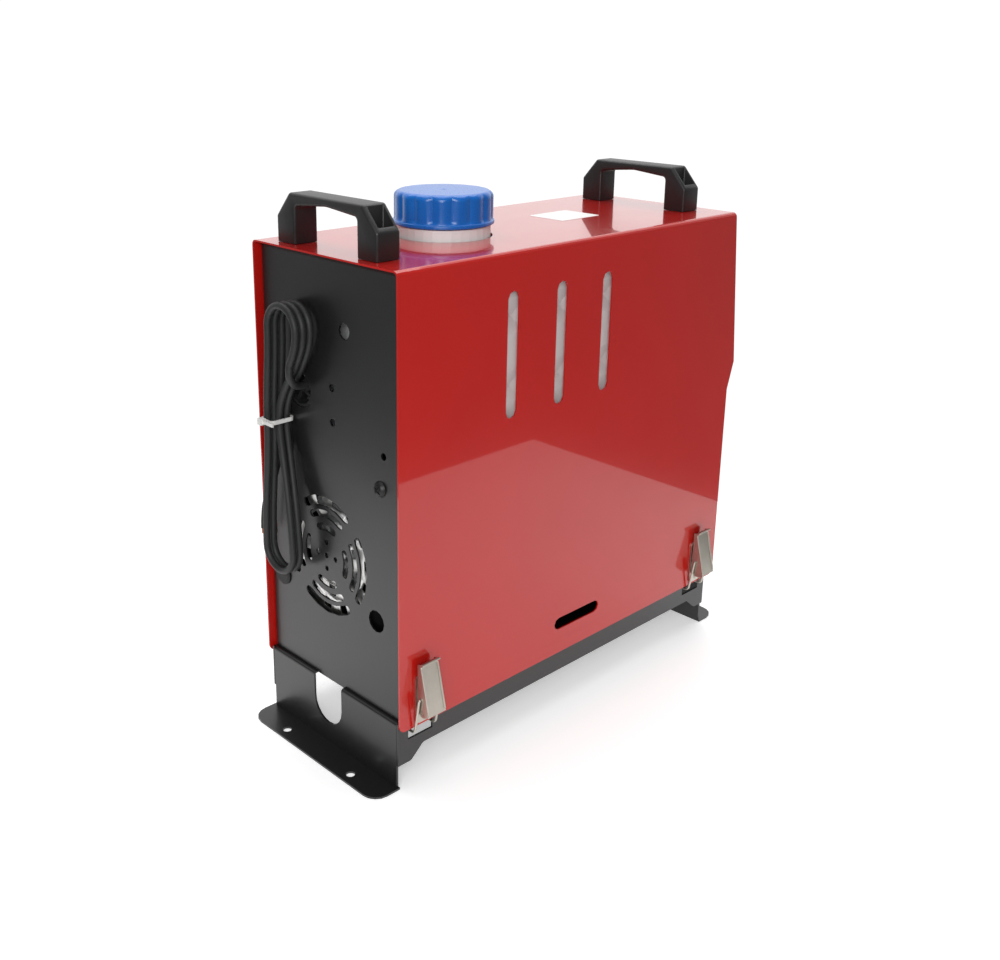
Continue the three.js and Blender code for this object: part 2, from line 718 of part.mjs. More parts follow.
// Latch pieces are drawn in their own frame: x along the case, y into the case from the cover's
// face, z height. (u, z) outlines measure u outwards from the face.
const outward = (corners) => outline(corners.map(([u, z, radius]) => [-u, z, radius]));
const across = (shape, span) => alongX(shape, span, 0, 1);
const bothSides = (shape, near, far) => [across(shape, [near, far]), across(shape, [-far, -near])];
const pinAcross = ([u, z], radius, reach) => rodX([-u, z], radius, [-reach, reach], 8);

const baseFace = gap + 1;         // outer face of the latch's base plate
const leverInner = leverWidth / 2 - leverSheet;
const earOuter = leverInner - 0.4;
const earInner = earOuter - leverSheet;

function latchBase() {
  const [u, z] = leverPivot;
  const plate = alongY(rectangle([-leverWidth / 2, leverWidth / 2], [z - 11.5, z + 25], 3),
    [-baseFace, -gap], 0, 1);
  const ear = outward([[gap, z - 2.8], [gap, z + 8], [u + 1.5, z + 3.2, 2.4], [u + 3.4, z - 0.6, 2.4],
    [u + 0.6, z - 3.4, 2.2]]);
  const rivets = [z - 8, z + 18].map((height) => {
    const dome = new THREE.CylinderGeometry(1.3, 2.6, 1.3, 8).translate(0, 0.65 + baseFace - 0.2, 0);
    return solid(dome.rotateX(Math.PI).translate(0, 0, height));
  });
  return join(plate, ...bothSides(ear, earInner, earOuter), ...rivets,
    pinAcross(leverPivot, pinRadius, leverWidth / 2 - 0.1));
}

function latchLever() {
  const [u, z] = leverPivot;
  const wall = outward([[u - 3.1, z - 1.8], [u - 1.5, z - 3.4], [u + 2, z - 3.4], [u + 6.1, z - 1.4],
    [5.2, leverTop], [2.8, leverTop], [2.6, z + 14, 2], [3, z + 6.5, 2]]);
  const web = outward([[u + 6.1, z - 1.4], [5.2, leverTop], [4, leverTop], [u + 4.9, z - 1.6]]);
  const lip = outward([[4, leverTop - 1], [5.2, leverTop - 1.5], [8, leverTop + 0.6, 0.5],
    [7.4, leverTop + 1.7, 0.5], [4.2, leverTop + 0.2]]);
  const wide = [-leverWidth / 2, leverWidth / 2];
  return cut(
    join(...bothSides(wall, leverInner, leverWidth / 2), across(web, wide), across(lip, wide)),
    pinAcross(leverPivot, pinRadius + gap, leverWidth),
    pinAcross(bailPivot, bailWire / 2 + gap, leverWidth),
  );
}

function latchBail() {
  const [u, z] = bailPivot;
  const end = leverInner + 0.4;
  const side = (sign) => [
    [sign * bailReach, -u, z, 1.1],
    [sign * bailReach, -1.9, bailHook + 2.2, 1.4],
    [sign * bailReach, 0.2, bailHook, 1.4],
    [sign * bailReach, 8, bailHook, 0.9],
    [sign * bailReach, 8, bailHook + bailWire, 0.9],
  ];
  return bentWire([[end, -u, z], ...side(1), ...side(-1).reverse(), [-end, -u, z]], bailWire, 6);
}

[['front_left', -1, 0], ['front_right', 1, 0], ['rear_left', -1, 1], ['rear_right', 1, 1]].forEach(
  ([place, end, rear]) => {
    const latch = new THREE.Group();
    latch.position.set(end * latchX, rear ? halfWidth : -halfWidth, 0);
    latch.rotation.z = rear * Math.PI;
    heater.add(latch);
    piece(`latch_base_${place}`, latchBase(), nickel, latch);
    piece(`latch_lever_${place}`, latchLever(), nickel, latch);
    piece(`latch_bail_${place}`, latchBail(), nickel, latch);
  });

// ---------- fuel tank, cap and shelf ----------

function tank() {
  const filler = [fillerX, fillerY];
  const spigot = [spigotX, spigotY];
  const body = alongZ(rectangle([tankLeft, tankRight], [-tankHalf, tankHalf], tankCorner),
    [tankBottom, tankTop], tankEdge, 2);
  const inside = alongZ(rectangle([tankLeft + tankWall, tankRight - tankWall],
    [-tankHalf + tankWall, tankHalf - tankWall], tankCorner - tankWall),
  [tankBottom + tankWall, tankTop - tankWall]);
  // Stiffening dimples: square pyramids pressed into both long sides, two rows high.
  const columns = Math.floor((tankRight - tankLeft - 2 * tankCorner) / dimplePitch);
  const rows = Math.floor((tankTop - tankBottom - 2 * tankEdge) / dimplePitch);
  const dimples = [];
  for (let i = 0; i < columns; i += 1) {
    for (let j = 0; j < rows; j += 1) {
      const x = (tankLeft + tankRight) / 2 + (i - (columns - 1) / 2) * dimplePitch;
      const z = (tankBottom + tankTop) / 2 + (j - (rows - 1) / 2) * dimplePitch;
      for (const side of [-1, 1]) dimples.push(dimple(x, side * tankHalf, z, side));
    }
  }
  const neck = join(
    rodZ(filler, neckCollar, [tankTop - 1, neckCollarTop], 32),
    rodZ(filler, neckRadius, [neckCollarTop - 1, neckTop], 32),
    rodZ(spigot, spigotRadius, [shelfZ - spigotDrop, tankBottom + 1], 12),
  );
  const bores = [
    rodZ(filler, neckRadius - neckWall, [tankTop - 2 * tankWall, neckTop + 1], 32),
    rodZ(spigot, spigotRadius - spigotWall, [shelfZ - spigotDrop - 1, tankBottom + 2 * tankWall], 12),
  ];
  return cut(join(body, neck), inside, ...dimples, ...bores);
}

function dimple(x, y, z, side) {
  const reach = dimplePitch * 0.94 / Math.SQRT2;
  const pyramid = new THREE.ConeGeometry(reach, 2 * dimpleDepth, 4, 1, false, Math.PI / 4);
  pyramid.scale(1, -1, 1);
  const turn = new THREE.Matrix4().set(1, 0, 0, x, 0, side, 0, y, 0, 0, 1, z, 0, 0, 0, 1);
  return solid(pyramid.applyMatrix4(turn));
}
piece('fuel_tank', tank(), whitePlastic);

function lobedOutline() {
  const shape = new THREE.Shape();
  const steps = capLobes * 4;
  for (let i = 0; i < steps; i += 1) {
    const angle = 2 * Math.PI * i / steps;
    const swell = Math.abs(Math.cos(capLobes * angle / 2)) ** 0.6;
    const radius = capRadius - capLobeDepth * (1 - swell);
    const point = [fillerX + radius * Math.cos(angle), fillerY + radius * Math.sin(angle)];
    if (i === 0) shape.moveTo(...point);
    else shape.lineTo(...point);
  }
  return shape;
}

function cap() {
  const filler = [fillerX, fillerY];
  const crown = roundZ(filler, [[0, capBottom], [capFlange, capBottom], [capFlange, capTop - capCrown],
    [capRadius - 0.4, capTop - capCrown], [capRadius - 1.8, capTop - capCrown * 0.4],
    [capRadius - capCrown, capTop], [0, capTop]], 32);
  const skirt = join(
    alongZ(lobedOutline(), [capBottom, capTop]),
    rodZ(filler, capFlange, [capBottom, capBottom + capFlangeHeight], 40),
  );
  return cut(skirt.intersect(crown), rodZ(filler, capBore, [capBottom - 1, capCeiling], 32));
}
piece('filler_cap', cap(), bluePlastic);
piece('cap_seal', ringZ([fillerX, fillerY], neckRadius - neckWall, neckRadius,
  [neckTop + gap, neckTop + gap + sealThickness]), blackRubber);

function shelf() {
  const left = inletFace + sheet + gap;
  const right = outletFace - sheet - gap;
  const half = panelHalf - panelBend - gap;
  const top = shelfZ + sheet;
  const plate = block([left, right], [-half, half], [shelfZ, top]);
  const flanges = [[left, left + sheet], [right - sheet, right]].map((span) =>
    block(span, [-half, half], [top - shelfFlange, top]));
  const screws = shelfScrews.map((at) => rodX(at, panelScrewRadius + gap, [left - 1, left + 3], 12));
  const hole = rodZ([spigotX, spigotY], spigotRadius + 2, [shelfZ - 1, top + 1], 16);
  return cut(join(plate, ...flanges), ...screws, hole);
}
piece('tank_shelf', shelf(), blackPaint);

// ---------- air heater ----------

const ovalPoints = 24;

// Rounded-square ring across the heater's axis: the power rises from 2 for a circle.
function oval(x, halfY, halfZ, power) {
  return Array.from({ length: ovalPoints }, (_, i) => {
    const angle = 2 * Math.PI * i / ovalPoints;
    const swell = (value) => Math.sign(value) * Math.abs(value) ** (2 / power);
    const [y, z] = [halfY * swell(Math.cos(angle)), halfZ * swell(Math.sin(angle))];
    return new THREE.Vector3(x, heaterY + y, heaterZ + z);
  });
}

function casing(inset) {
  const over = inset > 0 ? 2 : 0;
  return loft([
    oval(casingLeft - over, mouthRadius - inset, mouthRadius - inset, 2),
    oval(casingLeft + 16, caseHalfY - inset, caseHalfZ - inset, 3.2),
    oval(casingRight - 66, caseHalfY - inset, caseHalfZ - inset, 3.2),
    oval(casingRight - 26, outletRadius + 9 - inset, outletRadius + 9 - inset, 2.3),
    oval(casingRight + over, outletRadius - inset, outletRadius - inset, 2),
  ]);
}

const fuelInlet = [headLeft + 20, heaterZ - 17];
const footFloor = standTop + gap + gasketThickness + gap;

function casingHalf(side) {
  const shell = casing(0).subtract(casing(casingWall));
  const far = heaterZ + side * 2 * caseHalfZ;
  const near = heaterZ + side * gap / 2;
  const half = shell.intersect(block([casingLeft - 5, casingRight + 5],
    [heaterY - 2 * caseHalfY, heaterY + 2 * caseHalfY], [Math.min(near, far), Math.max(near, far)]));
  if (side > 0) return half;
  return cut(half,
    block([footX - footHalfX - 1, footX + footHalfX + 1], [heaterY - footHalfY - 1, heaterY + footHalfY + 1],
      [footFloor - 5, heaterZ - 40]),
    drillY(fuelInlet, 4, [heaterY - 2 * caseHalfY, heaterY - 20]));
}
piece('heater_upper_casing', casingHalf(1), blackPlastic);
piece('heater_lower_casing', casingHalf(-1), blackPlastic);

function finRing() {
  const shape = new THREE.Shape();
  const step = 2 * Math.PI / finCount;
  const fin = [[finRoot, -0.2], [finTip, -0.13], [finTip, 0.13], [finRoot, 0.2]];
  for (let i = 0; i < finCount; i += 1) {
    fin.forEach(([radius, share], j) => {
      const angle = (i + share) * step;
      const place = [heaterY + radius * Math.cos(angle), heaterZ + radius * Math.sin(angle)];
      if (i === 0 && j === 0) shape.moveTo(...place);
      else shape.lineTo(...place);
    });
  }
  return alongX(shape, [exchangerLeft, exchangerRight]);
}

function heatExchanger() {
  const foot = block([footX - footHalfX, footX + footHalfX], [heaterY - footHalfY, heaterY + footHalfY],
    [footFloor, heaterZ - Math.sqrt(finRoot ** 2 - footHalfY ** 2) + 1]);
  const end = exchangerRight;
  const dome = roundX(axis, [[0, end - 1], [finRoot, end - 1], [finRoot, end],
    [finRoot * 0.8, end + exchangerDome * 0.8], [0, end + exchangerDome]]);
  const stubs = [[exhaustX, exhaustRadius], [intakeX, intakeRadius]];
  const pipes = stubs.map(([x, radius]) => rodZ([x, heaterY], radius, [stubBottom, footFloor + 1], 16));
  const bores = stubs.map(([x, radius]) =>
    rodZ([x, heaterY], radius - stubWall, [stubBottom - 1, footFloor + 12], 16));
  return cut(join(finRing(), dome, foot, ...pipes),
    rodX(axis, exchangerBore, [exchangerLeft - 1, end - exchangerWall]), ...bores);
}
piece('heat_exchanger', heatExchanger(), aluminium);

piece('burner_tube', join(
  ringX(axis, burnerRadius - 1.5, burnerRadius, [exchangerLeft, exchangerLeft + 96], 16),
  ringX(axis, burnerRadius - 1, exchangerBore - 1, [exchangerLeft, exchangerLeft + 2.5], 16),
), nickel);

const headRight = exchangerLeft - gap;
const glowAt = [heaterY, heaterZ + burnerRadius - glowInset];
piece('glow_plug', roundX(glowAt, [[0, headRight + gap], [6, headRight + gap], [6, headRight + 5],
  [3, headRight + 6], [3, headRight + 30], [0, headRight + 30]], 6), nickel);

const boreClearance = 0.5;
piece('burner_head', cut(
  rodX(axis, headRadius, [headLeft, headRight]),
  rodX(axis, headRadius - headWall, [headLeft - 1, headRight - headWall]),
), aluminium);

piece('blower_motor', cut(
  join(
    rodX(axis, motorRadius, [motorLeft, headLeft - gap]),
    rodX(axis, motorRadius * 0.4, [motorLeft - 5, motorLeft + 1]),
    rodX(axis, headRadius, [headLeft - gap - 4, headLeft - gap]),
  ),
  rodX(axis, shaftRadius + boreClearance, [motorLeft - 10, headLeft + 5], 16),
), aluminium);

piece('motor_shaft', rodX(axis, shaftRadius, [shaftLeft, shaftRight], 16), nickel);

// A blade is a thin section carried out from the hub, turning flatter towards its tip.
function blade(angle, span, [rootRadius, tipRadius], [rootPitch, tipPitch], thickness) {
  const middle = (span[0] + span[1]) / 2;
  const width = span[1] - span[0];
  const rings = [0, 0.5, 1].map((share) => {
    const radius = rootRadius + share * (tipRadius - rootRadius);
    const pitch = rootPitch + share * (tipPitch - rootPitch);
    const chord = width / Math.cos(pitch) * 0.94;
    return [[-0.5, -0.5], [0.5, -0.5], [0.5, 0.5], [-0.5, 0.5]].map(([a, b]) => {
      const axial = a * chord * Math.cos(pitch) - b * thickness * Math.sin(pitch);
      const across = a * chord * Math.sin(pitch) + b * thickness * Math.cos(pitch);
      const turn = angle + across / radius;
      const [y, z] = [radius * Math.cos(turn), radius * Math.sin(turn)];
      return new THREE.Vector3(middle + axial, heaterY + y, heaterZ + z);
    });
  });
  return loft(rings);
}

function blowerWheel() {
  const hub = roundX(axis, [[0, wheelLeft], [wheelHub * 0.7, wheelLeft], [wheelHub, wheelLeft + 4],
    [wheelHub, wheelRight], [0, wheelRight]]);
  const blades = Array.from({ length: wheelBlades }, (_, i) => blade(2 * Math.PI * i / wheelBlades,
    [wheelLeft + 3, wheelRight - 1], [wheelHub - 1.5, wheelTip], [0.75, 1], 2.2));
  return cut(join(hub, ...blades), rodX(axis, shaftRadius + gap, [shaftLeft - 1, wheelRight + 1], 16));
}
piece('blower_wheel', blowerWheel(), greyPlastic);

function combustionFan() {
  const back = headLeft + 4;
  const disc = rodX(axis, fanRadius, [back, back + 2]);
  const hub = rodX(axis, 9, [back, shaftRight - 1.5], 20);
  const vanes = Array.from({ length: fanBlades }, (_, i) => {
    const turn = new THREE.Matrix4().makeTranslation(0, heaterY, heaterZ)
      .multiply(new THREE.Matrix4().makeRotationX(2 * Math.PI * i / fanBlades));
    return block([back + 1, back + 11], [8, fanRadius - 1], [-0.9, 0.9], turn);
  });
  return cut(join(disc, hub, ...vanes), rodX(axis, shaftRadius + gap, [back - 1, shaftRight + 1], 16));
}
piece('combustion_fan', combustionFan(), aluminium);

const unitBottom = heaterZ + motorRadius + 3;
const unitTop = heaterZ + caseHalfZ - casingWall - 1.6;
piece('control_unit', alongX(rectangle([heaterY - 24, heaterY + 24], [unitBottom, unitTop], 2),
  [motorLeft + 4, headLeft - 6]), blackPlastic);

const pipeHoles = ([low, high], clearance) => [[exhaustX, exhaustRadius], [intakeX, intakeRadius]].map(
  ([x, radius]) => rodZ([x, heaterY], radius + clearance, [low - 1, high + 1], 16));
const gasketSpan = [standTop + gap, standTop + gap + gasketThickness];
piece('mounting_gasket', cut(
  alongZ(rectangle([footX - footHalfX, footX + footHalfX],
    [heaterY - footHalfY, heaterY + footHalfY], 4), gasketSpan),
  ...pipeHoles(gasketSpan, 0.5),
), blackRubber);

function stand() {
  const floor = trayTop + gap;
  const half = footHalfY + 3;
  const brim = half + 11;
  const hat = outline([
    [-brim, floor], [-half + traySheet, floor, 1.5], [-half + traySheet, standTop - traySheet, 0.8],
    [half - traySheet, standTop - traySheet, 0.8], [half - traySheet, floor, 1.5], [brim, floor],
    [brim, floor + traySheet], [half, floor + traySheet, 0.8], [half, standTop, 2], [-half, standTop, 2],
    [-half, floor + traySheet, 0.8], [-brim, floor + traySheet],
  ].map(([y, z, radius]) => [heaterY + y, z, radius]));
  return cut(alongX(hat, [footX - footHalfX - 2, footX + footHalfX + 2], 0, 1),
    ...pipeHoles([standTop - traySheet, standTop], 1.2));
}
piece('heater_stand', stand(), blackPaint);

function outletCollar() {
  const back = outletFace + gap;
  const face = back + ductFlangeThickness;
  const end = face + ductReach;
  const inner = ductRadius - ductWall;
  const body = join(
    ringX(axis, inner, ductFlange, [back, face], 28),
    ringX(axis, inner, ductRadius, [back, end], 28),
  );
  const guard = [face + 1, face + 4];
  const bars = [0, 1, 2].map((i) => {
    const turn = new THREE.Matrix4().makeTranslation(0, heaterY, heaterZ)
      .multiply(new THREE.Matrix4().makeRotationX(Math.PI * i / 3 + Math.PI / 6));
    return block(guard, [-inner - 1, inner + 1], [-1, 1], turn);
  });
  return join(body, ...bars, rodX(axis, 7, guard, 12), ringX(axis, 20, 22, guard, 16));
}
piece('outlet_collar', outletCollar(), blackPlastic);

// ---------- fuel line ----------

const pump = [pumpY, pumpZ];
const pumpEnds = [pumpX - pumpLength / 2, pumpX + pumpLength / 2];
const filterEnds = [filterX - filterLength / 2, filterX + filterLength / 2];

function nozzled([low, high], radius) {
  return roundX(pump, [[0, low - nozzleLength], [nozzleRadius, low - nozzleLength], [nozzleRadius, low],
    [radius - 2, low], [radius, low + 3], [radius, high - 3], [radius - 2, high], [nozzleRadius, high],
    [nozzleRadius, high + nozzleLength], [0, high + nozzleLength]], 14);
}
piece('fuel_pump', nozzled(pumpEnds, pumpRadius), nickel);
piece('fuel_filter', nozzled(filterEnds, filterRadius), whitePlastic);

const clampSpan = [pumpX - 9, pumpX + 9];
piece('pump_mount', cut(
  join(
    rodX(pump, pumpRadius + 3.5, clampSpan, 24),
    block(clampSpan, [pumpY - 11, pumpY + 11], [trayTop + gap, pumpZ]),
  ),
  rodX(pump, pumpRadius + gap, [clampSpan[0] - 1, clampSpan[1] + 1], 16),
), blackRubber);

const sideway = -insideY + hoseRoom;
const headRim = heaterY - Math.sqrt(headRadius ** 2 - (fuelInlet[1] - heaterZ) ** 2);
const pumpIn = pumpEnds[1] + nozzleLength + gap;
const pumpOut = pumpEnds[0] - nozzleLength - gap;
const filterOut = filterEnds[0] - nozzleLength - gap;
const filterIn = filterEnds[1] + nozzleLength + gap;
const tankOut = shelfZ - spigotDrop - gap;

piece('suction_hose', hose([
  [spigotX, spigotY, tankOut], [spigotX, spigotY, tankOut - 4], [spigotX, spigotY - 10, tankOut - 13],
  [spigotX, sideway, tankOut - 32], [spigotX, sideway, 150], [spigotX - 2, sideway + 2, 105],
  [spigotX - 12, pumpY - 2, pumpZ + 9], [filterIn + 16, pumpY, pumpZ], [filterIn + 6, pumpY, pumpZ],
  [filterIn, pumpY, pumpZ],
], hoseDiameter, 8, 18), blackRubber);
piece('pump_hose', rodX(pump, hoseDiameter / 2, [pumpIn, filterOut], 8), blackRubber);
piece('delivery_hose', hose([
  [pumpOut, pumpY, pumpZ], [pumpOut - 5, pumpY, pumpZ], [pumpOut - 12, pumpY - 5, pumpZ + 8],
  [pumpOut - 10, sideway - 1, pumpZ + 26], [pumpOut + 2, sideway, pumpZ + 48],
  [pumpOut + 30, sideway, fuelInlet[1] - 2], [fuelInlet[0] - 22, sideway, fuelInlet[1]],
  [fuelInlet[0] - 5, sideway + 4, fuelInlet[1]], [fuelInlet[0], sideway + 12, fuelInlet[1]],
  [fuelInlet[0], headRim - 6, fuelInlet[1]], [fuelInlet[0], headRim - 1, fuelInlet[1]],
], hoseDiameter - 1, 8, 22), blackRubber);

// ---------- control panel ----------

const bezelX = [gap, gap + bezelThickness];
const windowZ = [4, 4 + windowHeight];
const buttonZ = -17;
const buttonYs = Array.from({ length: buttonCount }, (_, i) => (i - (buttonCount - 1) / 2) * buttonPitch);
const bezelLow = -bezelHeight / 2 + 6;
const bezelHigh = bezelHeight / 2 + 13;

function bezel() {
  const frame = alongX(rectangle([-bezelWidth / 2, bezelWidth / 2], [bezelLow - 4, bezelHigh], 7), bezelX, 1);
  const window = block([bezelX[1] - 1.8, bezelX[1] + 1], [-windowWidth / 2, windowWidth / 2], windowZ);
  const deep = [bezelX[1] - 3, bezelX[1] + 1];
  const wells = buttonYs.map((y) => rodX([y, buttonZ], buttonRadius + gap, deep, 12));
  return cut(frame, window, ...wells);
}
piece('control_bezel', bezel(), blackPlastic, slope);
piece('display_lens', block([bezelX[1] - 1.5, bezelX[1] - 0.3],
  [-windowWidth / 2 + gap, windowWidth / 2 - gap], [windowZ[0] + gap, windowZ[1] - gap]), glass, slope);
buttonYs.forEach((y, i) => {
  const seat = bezelX[1] - 3 + gap + buttonTravel;
  piece(`button_${i + 1}`, roundX([y, buttonZ], [[0, seat], [buttonRadius, seat],
    [buttonRadius, bezelX[1] + buttonRise - 0.6], [buttonRadius - 0.8, bezelX[1] + buttonRise],
    [0, bezelX[1] + buttonRise]], 12), greyPlastic, slope);
});

// ---------- power lead ----------

// The bushing is a nylon ring behind the cable hole; four spokes hold the sleeve that grips the lead.
function leadBushing() {
  const back = inletFace + sheet + gap;
  const ring = [inletFace + 0.4, back + 7];
  const flange = [back, back + 1.6];
  const outer = leadHoleRadius - gap;
  const inner = outer - 2;
  const spokes = [0, 1, 2, 3].map((i) => {
    const turn = new THREE.Matrix4().makeTranslation(0, ...leadHole)
      .multiply(new THREE.Matrix4().makeRotationX(Math.PI * i / 2 + 0.5));
    return block([ring[0] + 1.5, ring[1]], [0, inner + 0.5], [-1.2, 1.2], turn);
  });
  const sleeve = leadDiameter / 2 + 1.8;
  return cut(
    join(ringX(leadHole, inner, outer, ring, 20), ringX(leadHole, inner, outer + 3, flange, 20),
      ...spokes, rodX(leadExit, sleeve, [ring[0] + 0.6, ring[1]], 12)),
    rodX(leadExit, leadDiameter / 2 + gap, [ring[0] - 1, ring[1] + 1], 12),
  );
}
piece('lead_bushing', leadBushing(), whitePlastic);

const layerX = [2, 1, 0].map((i) => inletFace - hankStand - leadDiameter / 2 - i * hankPitch);
const ease = (share) => (1 - Math.cos(Math.PI * THREE.MathUtils.clamp(share, 0, 1))) / 2;
const spread = (z) => (z > hankWaistZ ? ease((z - hankWaistZ) / (hankTopZ - hankWaistZ))
  : ease((hankWaistZ - z) / (hankWaistZ - hankBottomZ)));
const hankMiddle = (z) => hankWaistY + spread(z) * ((z > hankWaistZ ? hankTopY : hankBottomY) - hankWaistY);
const hankHalf = (z) => hankWaist + spread(z) * (hankFold - hankWaist);

// Middle line of the hank: up the right run, over the top fold, down the left run, round the
// bottom fold, and one layer nearer the panel on each way up.
function hankLine() {
  const line = [];
  const stations = [hankBottomZ, 190, hankWaistZ - 8, hankWaistZ + 8, 264, 284];
  const place = (z, side, layer) => {
    const climb = side < 0 && layer > 0 ? 1 - ease((z - hankClimb[0]) / (hankClimb[1] - hankClimb[0])) : 0;
    line.push(new THREE.Vector3(layerX[layer] - climb * hankPitch, hankMiddle(z) + side * hankHalf(z), z));
  };
  const fold = (y, z, start, layer) => {
    for (let i = 0; i < foldSteps; i += 1) {
      const angle = start - Math.PI * i / foldSteps;
      const [across, up] = [hankFold * Math.cos(angle), hankFold * Math.sin(angle)];
      line.push(new THREE.Vector3(layerX[layer], y + across, z + up));
    }
  };
  layerX.forEach((_, layer) => {
    const up = layer === 0 ? [hankStartZ] : stations;
    up.forEach((z) => place(z, -1, layer));
    fold(hankTopY, hankTopZ, Math.PI, layer);
    const last = layer + 1 === layerX.length;
    const down = [...stations.slice(1), hankTopZ].reverse();
    down.filter((z) => !last || z > hankEndZ).forEach((z) => place(z, 1, layer));
    if (last) place(hankEndZ, 1, layer);
    else fold(hankBottomY, hankBottomZ, 0, layer);
  });
  return line;
}

// Least clear distance of a tube to itself, between stretches more than one fold apart.
function leastGap(line, diameter) {
  const fine = new THREE.CurvePath();
  line.slice(1).forEach((point, i) => fine.add(new THREE.LineCurve3(line[i], point)));
  const points = fine.getSpacedPoints(600);
  const step = fine.getLength() / 600;
  const apart = Math.ceil(2.5 * hankFold / step);
  let least = Infinity;
  for (let i = 0; i < points.length; i += 1) {
    for (let j = i + apart; j < points.length; j += 1) {
      least = Math.min(least, points[i].distanceTo(points[j]));
    }
  }
  return least - diameter;
}

const hank = hankLine();
console.log(`lead hank: least gap to itself ${leastGap(hank, leadDiameter).toFixed(2)} mm`);
piece('power_lead_hank', tube(hank, leadDiameter, 6), blackRubber);

piece('power_lead_exit', hose([
  [-164, 26, 266.5], [-169.5, 26, 266.5], [-174.6, 26, 266.5], [-179.9, 25, 267.5], [-184.3, 23.7, 270.3],
  [-187.4, 22.6, 274.9], [-188.6, 21.9, 279.9], [-188.6, 20.95, 284.7],
], leadDiameter, 10, 8), blackRubber);
piece('power_lead_tail', hose([
  [-177, 49.15, 227.7], [-177, 50.1, 221.5], [-177.1, 52.8, 211], [-177.2, 56, 202], [-177.4, 59.4, 193],
], leadDiameter, 10, 5), blackRubber);
piece('red_wire', hose([
  [-177.4, 58.1, 192.4], [-177.6, 59, 189.8], [-178.2, 60.3, 184], [-178.6, 60.8, 176], [-178.6, 60.2, 166],
  [-178.5, 59, 157], [-178.5, 57.5, 150],
], wireDiameter, 8, 8), redWireSkin);
piece('black_wire', hose([
  [-177.4, 60.9, 193.2], [-177.7, 61.9, 190.5], [-178.8, 64, 184.5], [-180, 66.6, 177], [-180.9, 69.2, 168],
  [-181.1, 70.8, 158], [-181.1, 71.4, 151], [-181.1, 71.5, 145.2],
], wireDiameter, 8, 9), blackRubber);

function cableTie() {
  const room = leadDiameter / 2 + gap;
  const z = [hankWaistZ - tieWidth / 2, hankWaistZ + tieWidth / 2];
  const middle = (hankMiddle(hankWaistZ - 8) + hankMiddle(hankWaistZ + 8)) / 2;
  const half = (hankHalf(hankWaistZ - 8) + hankHalf(hankWaistZ + 8)) / 2 + room;
  const x = [layerX[0] - room, layerX[2] + room];
  const band = (grow, span) => alongZ(rectangle([x[0] - grow, x[1] + grow],
    [middle - half - grow, middle + half + grow], 2.2 + grow), span);
  const face = x[0] - tieThickness;
  return join(
    cut(band(tieThickness, z), band(0, [z[0] - 1, z[1] + 1])),
    block([face - tieHead[0], face + 0.5], [middle, middle + tieHead[1]], [z[0] - 0.8, z[1] + 0.8]),
    block([face - 2, face - 0.8], [middle - tieTail, middle + 1], [z[0] + 0.2, z[1] - 0.2]),
  );
}
piece('cable_tie', cableTie(), whitePlastic);

export default heater;
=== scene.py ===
import math
import bmesh
import bpy
import numpy as np
from mathutils import Matrix, Vector


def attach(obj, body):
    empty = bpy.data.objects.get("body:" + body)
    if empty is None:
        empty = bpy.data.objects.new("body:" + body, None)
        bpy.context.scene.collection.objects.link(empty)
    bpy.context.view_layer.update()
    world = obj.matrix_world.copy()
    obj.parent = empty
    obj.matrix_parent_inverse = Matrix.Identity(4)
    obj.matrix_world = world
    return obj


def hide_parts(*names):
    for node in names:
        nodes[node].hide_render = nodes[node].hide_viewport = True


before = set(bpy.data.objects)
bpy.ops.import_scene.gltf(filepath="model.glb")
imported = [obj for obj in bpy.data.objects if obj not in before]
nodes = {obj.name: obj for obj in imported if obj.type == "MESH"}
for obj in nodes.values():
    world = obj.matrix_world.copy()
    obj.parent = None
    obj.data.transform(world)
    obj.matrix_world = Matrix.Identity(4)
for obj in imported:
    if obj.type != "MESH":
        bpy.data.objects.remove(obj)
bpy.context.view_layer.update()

samePoint = 1e-6              # two places closer than this are one


# camera: solved from the photograph, 1000 x 960 pixels
shot = {
    "place": (-0.62236, -0.58573, 0.49703),
    "yaw": 46.83,            # degrees from +X towards +Y
    "pitch": -17.17,
    "roll": 0.332,
    "focal": 1166.59,        # pixels
    "centre": (439.14, 389.19),
    "frame": (1000, 960),
    "sensor": 36,            # millimetres
}


def makeCamera(shot):
    yaw, pitch, roll = (math.radians(shot[key]) for key in ("yaw", "pitch", "roll"))
    ahead = Vector((math.cos(pitch) * math.cos(yaw), math.cos(pitch) * math.sin(yaw), math.sin(pitch)))
    level = Vector((math.sin(yaw), -math.cos(yaw), 0))
    above = level.cross(ahead)
    right = math.cos(roll) * level + math.sin(roll) * above
    up = -math.sin(roll) * level + math.cos(roll) * above
    wide, high = shot["frame"]
    data = bpy.data.cameras.new("camera")
    data.sensor_fit = "HORIZONTAL"
    data.sensor_width = shot["sensor"]
    data.lens = shot["focal"] / wide * data.sensor_width
    data.shift_x = (wide / 2 - shot["centre"][0]) / wide
    data.shift_y = (shot["centre"][1] - high / 2) / wide
    data.clip_start = 0.01
    camera = bpy.data.objects.new("camera", data)
    axes = Matrix((right, up, -ahead)).transposed().to_4x4()
    camera.matrix_world = Matrix.Translation(shot["place"]) @ axes
    bpy.context.scene.collection.objects.link(camera)
    bpy.context.scene.camera = camera


makeCamera(shot)
print("camera set")


# surfaces from grids

def gridFaces(rows, cols, closedRows=False):
    # quads between neighbouring points of a grid of closed rows, stored row by row
    r = np.arange(rows if closedRows else rows - 1)[:, None]
    c = np.arange(cols)[None, :]
    down, on = (r + 1) % rows, (c + 1) % cols
    quads = np.stack([r * cols + c, r * cols + on, down * cols + on, down * cols + c], axis=-1)
    return quads.reshape(-1, 4)


